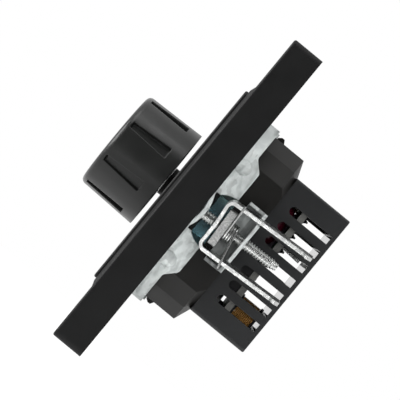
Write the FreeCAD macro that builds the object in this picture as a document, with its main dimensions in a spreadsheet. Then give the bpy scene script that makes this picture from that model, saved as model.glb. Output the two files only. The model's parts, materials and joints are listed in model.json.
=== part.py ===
"""Flush wall switch that sets the speed of a ceiling fan.

Every piece is drawn lying on its back, with local z pointing out of the wall, local x to the
right and local y up. The placement `upright` then stands it up, so that in the finished part
-Y is the front with the knob, +Y goes into the wall box and +Z is up. The origin is the centre
of the plate on the wall plane.
"""
import FreeCAD, Part
import math
import os
import re
import Sketcher

doc = FreeCAD.newDocument("fan_speed_switch")
sheet = doc.addObject("Spreadsheet::Sheet", "sizes")

# Driving dimensions in millimetres and degrees
SIZES = {
    # How far a cut runs past the face it opens, and a joined part reaches into its neighbour
    "overcut": 0.5,
    "root": 0.5,
    # Frame plate
    "plate_side": 86.0,
    "plate_depth": 8.0,
    "plate_corner": 1.6,
    "plate_wall": 2.0,
    "plate_skin": 2.2,
    "plate_edge_round": 0.5,
    "land_rise": 0.65,
    "land_margin": 0.5,
    "land_slope": 1.8,
    "window_wall": 2.0,
    "rib_thick": 1.2,
    "rib_offset": 17.0,
    # Cover plate
    "cover_side": 55.4,
    "cover_gap": 0.15,
    "cover_front": 9.4,
    "cover_thick": 2.5,
    "cover_skin": 1.5,
    "cover_wall": 1.8,
    "cover_corner": 1.5,
    "cover_edge_round": 0.4,
    "collar_radius": 3.75,
    "collar_rise": 1.3,
    "leg_inset": 3.3,
    "leg_thick": 1.4,
    "leg_width": 6.0,
    "hook_reach": 0.7,
    "hook_length": 1.3,
    "leg_clearance": 0.3,
    # Knob
    "knob_rear_radius": 13.5,
    "knob_front_radius": 13.05,
    "knob_length": 15.85,
    "knob_gap": 1.55,
    "knob_wall": 2.0,
    "knob_skin": 2.4,
    "knob_edge_round": 1.3,
    "knob_hub_radius": 4.6,
    "knob_rib_thick": 1.0,
    "knob_rib_setback": 3.0,
    "groove_count": 8,
    "groove_width": 2.9,
    "groove_depth": 0.9,
    "groove_rim": 3.3,
    # Control under the knob
    "shaft_radius": 3.0,
    "shaft_flat": 1.5,
    "shaft_flat_length": 13.4,
    "shaft_top": 24.0,
    "knob_bore_clearance": 0.03,
    "bushing_radius": 3.5,
    "bushing_length": 6.0,
    "bushing_shoulder_radius": 5.5,
    "bushing_shoulder": 1.3,
    "bushing_clearance": 0.05,
    "washer_radius": 5.6,
    "washer_thick": 0.6,
    "nut_across": 10.0,
    "nut_thick": 2.0,
    "can_radius": 8.25,
    "can_depth": 7.2,
    "can_wall": 0.5,
    "can_clearance": 0.3,
    "can_slot_gap": 0.2,
    "can_slot_inner": 4.54,
    "shaft_collar_radius": 4.4,
    "shaft_collar_thick": 1.1,
    "wiper_radius": 6.6,
    "wiper_thick": 1.0,
    "wiper_drop": 1.6,
    "track_radius": 7.55,
    "track_thick": 1.0,
    "track_drop": 3.9,
    "track_clearance": 0.4,
    "finger_gap": 0.05,
    "finger_half": 1.2,
    "finger_inner": 4.6,
    "finger_outer": 6.2,
    "lug_spacing": 5.0,
    "lug_width": 1.6,
    "lug_reach": 13.4,
    "lug_root": 5.3,
    "lug_drop": 0.7,
    "lug_sheet": 0.5,
    "lug_lead_inset": 0.9,
    # Mounting frame
    "frame_flange": 9.5,
    "frame_corner": 4.0,
    "frame_thick": 1.2,
    "slot_pitch": 60.0,
    "slot_width": 4.2,
    "slot_length": 7.0,
    "skirt_gap": 0.3,
    "skirt_wall": 1.2,
    "skirt_corner": 4.0,
    "skirt_depth": 5.35,
    "skirt_end_depth": 2.75,
    "skirt_step_inset": 10.9,
    "skirt_step_slope": 2.7,
    "skirt_step_round": 1.2,
    "catch_depth": 3.35,
    "notch_half": 5.3,
    "notch_end": 0.3,
    "dart_inset": 0.9,
    "dart_half": 1.9,
    "dart_rise": 1.2,
    "dart_sink": 0.1,
    "dart_centre_depth": 1.3,
    "dart_half_depth": 2.2,
    "strap_width": 5.8,
    "strap_half": 5.1,
    "strap_bulge": 1.35,
    "strap_thick": 1.0,
    "strap_window": 4.6,
    "strap_hole_radius": 2.25,
    # Tongue, tabs and rear lug of each claw seat
    "tongue_gap": 0.2,
    "tongue_thick": 0.9,
    "tongue_half": 1.45,
    "tongue_wide_start": 7.8,
    "tongue_wide_half": 8.55,
    "tab_thick": 0.9,
    "tab_start": 7.8,
    "tab_end": 11.9,
    "tab_margin": 1.7,
    "lug_half": 5.3,
    "lug_front": 12.05,
    "lug_thick": 0.9,
    "lug_margin": 2.5,
    "lug_hole_radius": 1.95,
    # Claw, its nut, spring and screw
    "screw_stand": 3.8,
    "screw_drop": 0.55,
    "claw_lean": 3.1,
    "claw_roll": 6.0,
    "claw_half": 6.85,
    "claw_thick": 0.9,
    "claw_front": 4.2,
    "claw_tip": 27.2,
    "claw_inner": 2.6,
    "claw_outer": 2.9,
    "claw_bend": 1.9,
    "claw_bow": 0.38,
    "claw_hole_radius": 1.9,
    "tooth_rise": 0.9,
    "tooth_length": 1.7,
    "nut_gap": 0.5,
    "claw_nut_thick": 1.9,
    "claw_nut_half": 4.65,
    "claw_nut_depth": 2.0,
    "claw_nut_clearance": 0.05,
    "claw_nut_corner": 0.3,
    "screw_radius": 1.45,
    "screw_length": 22.0,
    "screw_tip_length": 2.0,
    "screw_tip_radius": 0.9,
    "head_radius": 2.9,
    "head_thick": 1.7,
    "head_seat": 0.45,
    "head_slot_width": 0.8,
    "head_slot_depth": 0.8,
    "head_room": 0.5,
    "wire_radius": 0.28,
    "coil_radius": 2.35,
    "coil_turns": 3,
    "coil_pitch": 0.52,
    "coil_leave": 50.0,
    "coil_gap": 0.1,
    "bend_swell": 0.02,
    "spring_leg_lift": 0.05,
    "spring_leg_top": 7.4,
    "spring_leg_low": 7.9,
    "spring_leg_slant": 1.0,
    # Insulating disc behind the claw
    "disc_radius": 7.0,
    "disc_centre": 5.8,
    "disc_thick": 0.35,
    "disc_trim": 1.5,
    "disc_end": 5.6,
    # Upper housing
    "housing_half": 24.0,
    "bevel_far_inset": 8.4,
    "bevel_mid_inset": 3.7,
    "housing_depth": 11.4,
    "housing_wall": 1.6,
    "shoulder_depth": 12.9,
    "shoulder_lip": 0.25,
    "shoulder_bevel_drop": 2.0,
    "shoulder_bevel_inset": 0.6,
    "floor_inset": 6.6,
    "post_inset": 7.6,
    "post_radius": 2.9,
    "post_bore": 1.35,
    "post_bore_depth": 8.0,
    "latch_half": 4.0,
    "latch_front": 3.45,
    "latch_end": 5.8,
    "latch_rise": 1.4,
    "latch_lead": 0.84,
    "latch_lead_depth": 0.8,
    "latch_flat": 0.7,
    "wire_hole_radius": 1.7,
    "terminal_pitch": 7.6,
    "terminal_depth": 6.0,
    # Rear case
    "case_inset": 4.0,
    "case_inset_up": 4.25,
    "case_end": 28.8,
    "case_wall": 1.5,
    "case_corner": 0.8,
    "vent_count": 7,
    "vent_pitch": 4.42,
    "vent_height": 2.2,
    "vent_front": 16.0,
    "vent_end": 27.7,
    "case_post_inset": 4.0,
    "case_post_inset_up": 3.55,
    "case_post_radius": 1.9,
    "case_screw_radius": 1.2,
    "case_screw_clearance": 0.1,
    "case_screw_head_radius": 1.9,
    "case_screw_head": 1.2,
    # Circuit board and what stands on it
    "board_front": 18.8,
    "board_thick": 1.6,
    "board_gap": 0.25,
    "sink_thick": 1.0,
    "sink_left": -8.0,
    "sink_inset": 2.6,
    "sink_bottom": -16.9,
    "sink_top": -2.0,
    "sink_leg_depth": 3.0,
    "sink_leg_right": 12.8,
    "sink_gap": 0.1,
    "triac_thick": 4.5,
    "triac_width": 10.0,
    "triac_centre": 12.8,
    "triac_top": -3.0,
    "triac_body": 9.0,
    "triac_tab": 4.6,
    "triac_tab_thick": 1.3,
    "triac_leg": 0.7,
    "triac_leg_pitch": 2.54,
    "triac_screw_radius": 1.45,
    "triac_screw_head": 1.6,
    "red_cap_inset": 3.2,
    "red_cap_width": 9.0,
    "red_cap_bottom": 2.9,
    "red_cap_top": 14.0,
    "red_cap_height": 6.4,
    "red_cap_standoff": 0.9,
    "red_cap_round": 2.2,
    "red_cap_lead_inset": 2.6,
    "grey_cap_left": -2.0,
    "grey_cap_right": 5.2,
    "grey_cap_bottom": 1.0,
    "grey_cap_top": 13.2,
    "grey_cap_height": 6.8,
    "grey_cap_corner": 0.5,
    "lead_radius": 0.3,
    "resistor_radius": 1.15,
    "resistor_length": 6.2,
    "resistor_pitch": 3.4,
    "resistor_count": 3,
    "resistor_lift": 0.4,
    "lead_stub": 0.8,
    "resistor_inset": 3.6,
    "resistor_centre": 11.2,
    "diac_radius": 0.95,
    "diac_length": 4.0,
    "choke_x": 11.5,
    "choke_y": -13.3,
    "choke_flange_radius": 4.3,
    "choke_hub_radius": 2.0,
    "choke_winding_radius": 3.95,
    "choke_height": 6.3,
    "choke_flange_thick": 0.6,
    "winding_fit": 0.02,
    "fuse_radius": 2.3,
    "fuse_glass_radius": 2.1,
    "fuse_length": 18.0,
    "fuse_left": -12.6,
    "fuse_y": -14.3,
    "fuse_cap_length": 4.0,
    "fuse_lift": 3.0,
    "fuse_cap_skin": 0.3,
    "fuse_glass_wall": 0.5,
    "fuse_fit": 0.02,
    "clip_thick": 0.4,
    "clip_inset": 0.4,
    "clip_mouth": 2.8,
    "clip_foot": 1.6,
    # Terminal block inside the top of the housing
    "block_half": 12.0,
    "block_depth": 11.0,
    "block_front": 2.3,
    "block_end": 9.5,
    "block_gap": 0.15,
    "block_skin": 1.0,
    "block_floor": 1.2,
    "block_pocket": 5.2,
    "bar_thick": 0.8,
    "bar_gap": 0.3,
    "bar_seat": 0.05,
    "spring_leaf_thick": 0.35,
    "leaf_gap": 0.5,
    "leaf_seat": 0.2,
    "leaf_root": 1.2,
    "leaf_rise": 1.4,
    "leaf_bend": 1.5,
    # Fasteners
    "housing_screw_radius": 1.3,
    "housing_screw_length": 8.0,
    "housing_screw_head_radius": 2.6,
    "housing_screw_head": 1.7,
    "recess_reach": 0.6,
    "recess_half_width": 0.18,
    "recess_depth": 0.6,
    "thread_fit": 0.02,
}

# Sizes that follow from others, so that neighbouring pieces keep their clearances
TIES = {
    "land_top": "cover_side + 2 * land_margin",
    "land_base": "land_top + 2 * land_slope",
    "leg_centre": "housing_half - leg_inset",
    "skirt_half": "housing_half + skirt_gap + skirt_wall",
    "frame_side": "2 * (skirt_half + frame_flange)",
    "skirt_step": "skirt_half - skirt_step_inset",
    "dart_centre": "skirt_step - dart_inset",
    "tongue_inner": "housing_half + tongue_gap",
    "screw_offset": "skirt_half + screw_stand",
    "tab_reach": "screw_offset + tab_margin",
    "lug_outer": "screw_offset + lug_margin",
    "housing_bevel_far": "housing_half - bevel_far_inset",
    "housing_bevel_mid": "housing_half - bevel_mid_inset",
    "floor_window": "housing_half - floor_inset",
    "post_offset": "housing_half - post_inset",
    "case_half_width": "housing_half - case_inset",
    "case_half_height": "housing_half - case_inset_up",
    "case_post_x": "case_half_width - case_post_inset",
    "case_post_y": "case_half_height - case_post_inset_up",
    "sink_right": "case_half_width - sink_inset",
    "red_cap_right": "case_half_width - red_cap_inset",
    "red_cap_left": "red_cap_right - red_cap_width",
    "resistor_left": "resistor_inset - case_half_width",
    "block_bottom": "housing_half - block_depth",
}

for number, (alias, value) in enumerate(SIZES.items(), start=1):
    sheet.set(f"A{number}", alias)
    sheet.set(f"B{number}", str(value))
    sheet.setAlias(f"B{number}", alias)
ties = doc.addObject("App::VarSet", "ties")


def size(alias):
    """Return one driving or tied dimension as a number."""
    if alias in TIES:
        return float(getattr(ties, alias))
    return float(sheet.get(alias))


def bound(text):
    """Turn an expression in plain size names into one that reads the sheet and the ties."""
    return re.sub(r"[a-z][a-z_]*[a-z]", lambda word: with_source(word.group(0)), str(text))


def with_source(word):
    """Prefix a size name with the object that holds it and leave function names alone."""
    if word in TIES:
        return f"ties.{word}"
    return f"sizes.{word}" if word in SIZES else word


for alias, formula in TIES.items():
    ties.addProperty("App::PropertyFloat", alias)
    ties.setExpression(alias, bound(formula))
doc.recompute()


upright = FreeCAD.Placement(FreeCAD.Vector(), FreeCAD.Rotation(FreeCAD.Vector(1, 0, 0), 90))

# The finished pieces, in the order they are made
pieces = []


def finish(piece, label):
    """Name a piece and put it on the list of those that are written."""
    piece.Label = label
    pieces.append(piece)
    return piece


def new_body(name, placement=upright):
    """Start the body of one piece."""
    body = doc.addObject("PartDesign::Body", name)
    body.Placement = placement
    return body


def origin_plane(body, role):
    """Find one of a body's own origin planes or axes by its role."""
    return next(item for item in body.Origin.OriginFeatures if item.Role == role)


def new_sketch(body, offset="0", plane="XY_Plane"):
    """Attach an empty sketch to an origin plane of the body, moved along the plane's normal."""
    sketch = body.newObject("Sketcher::SketchObject", f"{body.Name}_sketch")
    sketch.AttachmentSupport = (origin_plane(body, plane), [""])
    sketch.MapMode = "FlatFace"
    sketch.setExpression("AttachmentOffset.Base.z", bound(offset))
    return sketch


def place_point(sketch, geometry, end, across, along):
    """Tie a point of a sketch to its distances from the sketch's origin."""
    now = sketch.getPoint(geometry, end)
    for kind, text, axis, value in (
        ("DistanceX", across, -2, now.x),
        ("DistanceY", along, -1, now.y),
    ):
        if str(text) == "0":
            sketch.addConstraint(Sketcher.Constraint("PointOnObject", geometry, end, axis))
            continue
        index = sketch.addConstraint(Sketcher.Constraint(kind, -1, 1, geometry, end, value))
        sketch.setExpression(f"Constraints[{index}]", bound(text))


def outline(sketch, points):
    """Draw a closed polygon whose corners are pairs of expressions."""
    count = len(points)
    first = sketch.GeometryCount
    turns = [0.1 + 2 * math.pi * index / count for index in range(count)]
    spread = size("housing_half")
    corners = [
        FreeCAD.Vector(spread * math.cos(turn), spread * math.sin(turn), 0) for turn in turns
    ]
    for index in range(count):
        sketch.addGeometry(Part.LineSegment(corners[index], corners[(index + 1) % count]))
    for index in range(count):
        following = first + (index + 1) % count
        sketch.addConstraint(
            Sketcher.Constraint("Coincident", first + index, 2, following, 1)
        )
        place_point(sketch, first + index, 1, *points[index])
    return sketch


def rectangle(sketch, left, right, bottom, top):
    """Draw a closed rectangle from its four sides."""
    return outline(sketch, [(left, bottom), (right, bottom), (right, top), (left, top)])


def centred_square(sketch, half):
    """Draw a square round the origin from half its side."""
    return rectangle(sketch, f"-({half})", half, f"-({half})", half)


def circle(sketch, radius, across="0", along="0"):
    """Draw a circle from its radius and centre."""
    index = sketch.addGeometry(Part.Circle(FreeCAD.Vector(0, 0, 0), FreeCAD.Vector(0, 0, 1), 3.0))
    place_point(sketch, index, 3, across, along)
    constraint = sketch.addConstraint(Sketcher.Constraint("Radius", index, 3.0))
    sketch.setExpression(f"Constraints[{constraint}]", bound(radius))
    return sketch


def settle(body, feature):
    """Make a feature the body's tip, work it out and make sure that it succeeded."""
    body.Tip = feature
    doc.recompute()
    if not feature.isValid() or feature.Shape.isNull():
        raise RuntimeError(f"{feature.Name} failed")
    return feature


def pad(body, sketch, length):
    """Raise a sketch along its normal."""
    feature = body.newObject("PartDesign::Pad", f"{body.Name}_pad")
    feature.Profile = sketch
    feature.setExpression("Length", bound(length))
    return settle(body, feature)


def pocket(body, sketch, length):
    """Cut a sketch along its normal and make sure that it removed something."""
    before = body.Shape.Volume
    feature = body.newObject("PartDesign::Pocket", f"{body.Name}_pocket")
    feature.Profile = sketch
    feature.Reversed = True
    feature.setExpression("Length", bound(length))
    settle(body, feature)
    if body.Shape.Volume >= before - 1e-6:
        raise RuntimeError(f"{feature.Name} cuts nothing")
    return feature


def cut_through(body, sketch):
    """Cut a sketch through the whole body, both ways."""
    before = body.Shape.Volume
    feature = body.newObject("PartDesign::Pocket", f"{body.Name}_pocket")
    feature.Profile = sketch
    feature.Type = "ThroughAll"
    feature.Midplane = True
    settle(body, feature)
    if body.Shape.Volume >= before - 1e-6:
        raise RuntimeError(f"{feature.Name} cuts nothing")
    return feature


def revolve(body, sketch):
    """Turn a sketch on the XZ plane once round the body's own z axis."""
    feature = body.newObject("PartDesign::Revolution", f"{body.Name}_turned")
    feature.Profile = sketch
    feature.ReferenceAxis = (sketch, ["V_Axis"])
    feature.Angle = 360
    return settle(body, feature)


def polar(body, features, count, sketch):
    """Repeat features evenly round the z axis."""
    pattern = body.newObject("PartDesign::PolarPattern", f"{body.Name}_round")
    pattern.Originals = features
    pattern.Axis = (sketch, ["N_Axis"])
    pattern.Angle = 360
    pattern.setExpression("Occurrences", bound(count))
    return settle(body, pattern)


def edges_like(shape, test):
    """Name the edges of a shape whose middle and direction pass a test."""
    names = []
    for number, edge in enumerate(shape.Edges, start=1):
        if edge.Length < 1e-6:
            continue
        middle = edge.valueAt((edge.FirstParameter + edge.LastParameter) / 2)
        direction = edge.tangentAt((edge.FirstParameter + edge.LastParameter) / 2)
        if test(middle, direction, edge):
            names.append(f"Edge{number}")
    return names


def dress(body, kind, test, amount):
    """Fillet or chamfer the edges of the body's tip that pass a test, in the body's own frame."""
    base = body.Tip
    names = edges_like(base.Shape, test)
    if not names:
        raise RuntimeError(f"{body.Name} has no such edge")
    feature = body.newObject(f"PartDesign::{kind}", f"{body.Name}_{kind.lower()}")
    feature.Base = (base, names)
    feature.setExpression("Radius" if kind == "Fillet" else "Size", bound(amount))
    return settle(body, feature)


def along_z(direction):
    """Tell whether an edge runs along the local z axis."""
    return abs(direction.z) > 0.999


def flat_at(middle, direction, height):
    """Tell whether an edge lies level at a given height."""
    return abs(direction.z) < 1e-3 and abs(middle.z - height) < 1e-3


# Frame plate: a square tray, open behind, with a raised land round its window
def make_frame_plate():
    body = new_body("frame_plate")
    pad(body, centred_square(new_sketch(body), "plate_side / 2"), "plate_depth")
    dress(body, "Fillet", lambda m, d, e: along_z(d), "plate_corner")
    depth = size("plate_depth")
    dress(body, "Fillet", lambda m, d, e: flat_at(m, d, depth), "plate_edge_round")

    loft = body.newObject("PartDesign::AdditiveLoft", "land")
    base = centred_square(new_sketch(body, "plate_depth"), "land_base / 2")
    top = centred_square(new_sketch(body, "plate_depth + land_rise"), "land_top / 2")
    loft.Profile = base
    loft.Sections = [top]
    loft.Ruled = True
    settle(body, loft)

    hollow = new_sketch(body)
    centred_square(hollow, "plate_side / 2 - plate_wall")
    centred_square(hollow, "cover_side / 2 + cover_gap + window_wall")
    pocket(body, hollow, "plate_depth - plate_skin")
    seat = centred_square(new_sketch(body), "frame_side / 2 + cover_gap")
    pocket(body, seat, "frame_thick")

    heads = new_sketch(body)
    for side in (1, -1):
        rectangle(
            heads,
            f"{side} * (cover_side / 2 + cover_gap)",
            f"{side} * (max(screw_offset; cover_side / 2 + window_wall) + head_radius + head_room)",
            "-head_radius - screw_drop - head_room",
            "head_radius + screw_drop + head_room",
        )
    pocket(body, heads, "head_seat + head_thick + head_room")

    ribs = new_sketch(body, "frame_thick + cover_gap")
    for side in ("", "-"):
        rectangle(
            ribs,
            "cover_side / 2 + cover_gap + window_wall / 2",
            "plate_side / 2 - plate_wall / 2",
            f"{side}rib_offset - rib_thick / 2",
            f"{side}rib_offset + rib_thick / 2",
        )
    rib_pad = pad(body, ribs, "plate_depth - plate_skin / 2 - frame_thick - cover_gap")
    polar(body, [rib_pad], "4", ribs)

    window = centred_square(new_sketch(body), "cover_side / 2 + cover_gap")
    pocket(body, window, "plate_depth + land_rise + cover_gap")
    return finish(body, "frame_plate")


# Cover plate: a shallow cap with a collar round the shaft and four snap legs
def make_cover_plate():
    body = new_body("cover_plate")
    base = "cover_front - cover_thick"
    pad(body, centred_square(new_sketch(body, base), "cover_side / 2"), "cover_thick")
    dress(body, "Fillet", lambda m, d, e: along_z(d), "cover_corner")
    front = size("cover_front")
    dress(body, "Fillet", lambda m, d, e: flat_at(m, d, front), "cover_edge_round")
    pocket(
        body,
        centred_square(new_sketch(body, base), "cover_side / 2 - cover_wall"),
        "cover_thick - cover_skin",
    )
    collar = circle(new_sketch(body, "cover_front - cover_skin"), "collar_radius")
    pad(body, collar, "collar_rise + cover_skin")

    foot = "-leg_clearance / 2 - hook_length"
    leg = rectangle(
        new_sketch(body, foot),
        "leg_centre - leg_thick / 2",
        "leg_centre + leg_thick / 2",
        "-leg_width / 2",
        "leg_width / 2",
    )
    leg_pad = pad(body, leg, "cover_front - cover_skin / 2 + hook_length + leg_clearance / 2")
    hook = new_sketch(body, "-leg_width / 2", "XZ_Plane")
    outline(
        hook,
        [
            ("leg_centre", foot),
            ("leg_centre + leg_thick / 2", foot),
            ("leg_centre + leg_thick / 2 + hook_reach", "-leg_clearance / 2 - 0.3 * hook_length"),
            ("leg_centre + leg_thick / 2 + hook_reach", "-leg_clearance / 2"),
            ("leg_centre", "-leg_clearance / 2"),
        ],
    )
    hook_pad = pad(body, hook, "leg_width")
    polar(body, [leg_pad, hook_pad], "4", leg)

    bore = circle(new_sketch(body, base), "shaft_radius + leg_clearance")
    pocket(body, bore, "cover_thick + collar_rise + overcut")
    return finish(body, "cover_plate")


# Knob: a turned cap with eight grip grooves, a D-bored hub and four inner ribs
def make_knob():
    body = new_body("knob")
    rear = "cover_front + knob_gap"
    front = f"{rear} + knob_length"
    profile = new_sketch(body, "0", "XZ_Plane")
    outline(
        profile,
        [
            ("0", f"{front}"),
            ("0", f"{front} - knob_skin"),
            ("knob_front_radius - knob_wall", f"{front} - knob_skin"),
            ("knob_rear_radius - knob_wall", rear),
            ("knob_rear_radius", rear),
            ("knob_front_radius", front),
        ],
    )
    revolve(body, profile)
    top = size("cover_front") + size("knob_gap") + size("knob_length")
    dress(body, "Fillet", lambda m, d, e: flat_at(m, d, top), "knob_edge_round")

    hub = circle(new_sketch(body, rear), "knob_hub_radius")
    pad(body, hub, "knob_length - knob_skin / 2")
    rib = rectangle(
        new_sketch(body, f"{rear} + knob_rib_setback"),
        "knob_hub_radius - root",
        "knob_front_radius - knob_wall / 2",
        "-knob_rib_thick / 2",
        "knob_rib_thick / 2",
    )
    rib_pad = pad(body, rib, "knob_length - knob_rib_setback - knob_skin / 2")
    polar(body, [rib_pad], "4", rib)

    bore = new_sketch(body, rear)
    d_outline(bore, "shaft_radius + knob_bore_clearance", "shaft_flat + knob_bore_clearance")
    pocket(body, bore, f"shaft_top - ({rear}) + knob_bore_clearance")

    groove = new_sketch(body, f"{rear} + groove_rim")
    rectangle(
        groove,
        "knob_front_radius - groove_depth",
        "knob_rear_radius + overcut",
        "-groove_width / 2",
        "groove_width / 2",
    )
    groove.setExpression("AttachmentOffset.Rotation.Angle", bound("180 / groove_count"))
    groove_cut = pocket(body, groove, "knob_length")
    polar(body, [groove_cut], "groove_count", groove)
    return finish(body, "knob")


def d_outline(sketch, radius, flat):
    """Draw a circle with one flat, the section of a D shaft."""
    start = math.pi / 2 + 0.9
    end = 2 * math.pi + math.pi / 2 - 0.9
    ring = Part.Circle(FreeCAD.Vector(0, 0, 0), FreeCAD.Vector(0, 0, 1), 3.0)
    arc = sketch.addGeometry(Part.ArcOfCircle(ring, start, end))
    left = FreeCAD.Vector(3 * math.cos(start), 3 * math.sin(start), 0)
    right = FreeCAD.Vector(3 * math.cos(end), 3 * math.sin(end), 0)
    chord = sketch.addGeometry(Part.LineSegment(left, right))
    sketch.addConstraint(Sketcher.Constraint("Coincident", arc, 1, chord, 1))
    sketch.addConstraint(Sketcher.Constraint("Coincident", arc, 2, chord, 2))
    sketch.addConstraint(Sketcher.Constraint("Coincident", arc, 3, -1, 1))
    sketch.addConstraint(Sketcher.Constraint("Horizontal", chord))
    round_index = sketch.addConstraint(Sketcher.Constraint("Radius", arc, 3.0))
    sketch.setExpression(f"Constraints[{round_index}]", bound(radius))
    flat_index = sketch.addConstraint(Sketcher.Constraint("DistanceY", -1, 1, chord, 1, 1.5))
    sketch.setExpression(f"Constraints[{flat_index}]", bound(flat))
    return sketch


# Control: shaft, bushing, nut and washer, can, track and wiper
def make_control():
    shaft = new_body("control_shaft")
    bottom = "-bushing_shoulder - can_depth + can_wall * 2"
    pad(shaft, circle(new_sketch(shaft, bottom), "shaft_radius"), f"shaft_top - ({bottom})")
    collar = circle(
        new_sketch(shaft, "-bushing_shoulder - bushing_clearance - shaft_collar_thick"),
        "shaft_collar_radius",
    )
    pad(shaft, collar, "shaft_collar_thick")
    flat = rectangle(
        new_sketch(shaft, "shaft_top - shaft_flat_length"),
        "-shaft_radius - overcut",
        "shaft_radius + overcut",
        "shaft_flat",
        "shaft_radius + overcut",
    )
    pocket(shaft, flat, "shaft_flat_length + overcut")
    finish(shaft, "control_shaft")

    bushing = new_body("control_bushing")
    profile = new_sketch(bushing, "0", "XZ_Plane")
    outline(
        profile,
        [
            ("shaft_radius + bushing_clearance", "-bushing_shoulder"),
            ("bushing_shoulder_radius", "-bushing_shoulder"),
            ("bushing_shoulder_radius", "0"),
            ("bushing_radius", "0"),
            ("bushing_radius", "bushing_length"),
            ("shaft_radius + bushing_clearance", "bushing_length"),
        ],
    )
    revolve(bushing, profile)
    finish(bushing, "control_bushing")

    washer = new_body("bushing_washer")
    ring = new_sketch(washer, "frame_thick")
    circle(ring, "washer_radius")
    circle(ring, "bushing_radius + bushing_clearance")
    pad(washer, ring, "washer_thick")
    finish(washer, "bushing_washer")

    nut = new_body("bushing_nut")
    hexagon = new_sketch(nut, "frame_thick + washer_thick")
    corner = "nut_across / sqrt(3)"
    outline(
        hexagon,
        [(f"{corner} * cos({angle})", f"{corner} * sin({angle})") for angle in range(30, 390, 60)],
    )
    circle(hexagon, "bushing_radius + bushing_clearance")
    pad(nut, hexagon, "nut_thick")
    finish(nut, "bushing_nut")

    can = new_body("control_can")
    profile = new_sketch(can, "0", "XZ_Plane")
    top = "-bushing_shoulder"
    floor = "-bushing_shoulder - can_depth"
    opening = "shaft_collar_radius + can_clearance"
    outline(
        profile,
        [
            (opening, top),
            ("can_radius", top),
            ("can_radius", floor),
            ("shaft_radius + can_clearance", floor),
            ("shaft_radius + can_clearance", f"{floor} + can_wall"),
            ("can_radius - can_wall", f"{floor} + can_wall"),
            ("can_radius - can_wall", f"{top} - can_wall"),
            (opening, f"{top} - can_wall"),
        ],
    )
    revolve(can, profile)
    slot = rectangle(
        new_sketch(can, "-bushing_shoulder - track_drop - track_thick - can_slot_gap"),
        "-can_radius - overcut",
        "-can_slot_inner",
        "-lug_spacing - lug_width",
        "lug_spacing + lug_width",
    )
    pocket(can, slot, "track_thick + 2 * can_slot_gap")
    finish(can, "control_can")

    track = new_body("control_track")
    plate = new_sketch(track, "-bushing_shoulder - track_drop - track_thick")
    circle(plate, "track_radius")
    circle(plate, "shaft_radius + track_clearance")
    pad(track, plate, "track_thick")
    lugs = new_sketch(track, "-bushing_shoulder - track_drop - lug_drop")
    for row in ("-lug_spacing", "0", "lug_spacing"):
        rectangle(
            lugs,
            "-lug_reach",
            "-lug_root",
            f"{row} - lug_width / 2",
            f"{row} + lug_width / 2",
        )
    pad(track, lugs, "lug_sheet")
    finish(track, "control_track")

    wiper = new_body("control_wiper")
    disc = new_sketch(wiper, "-bushing_shoulder - wiper_drop - wiper_thick")
    circle(disc, "wiper_radius")
    circle(disc, "shaft_radius + knob_bore_clearance")
    pad(wiper, disc, "wiper_thick")
    finger = rectangle(
        new_sketch(wiper, "-bushing_shoulder - track_drop + finger_gap"),
        "-finger_half",
        "finger_half",
        "finger_inner",
        "finger_outer",
    )
    pad(wiper, finger, "track_drop - wiper_drop - wiper_thick / 2")
    finish(wiper, "control_wiper")


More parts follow.
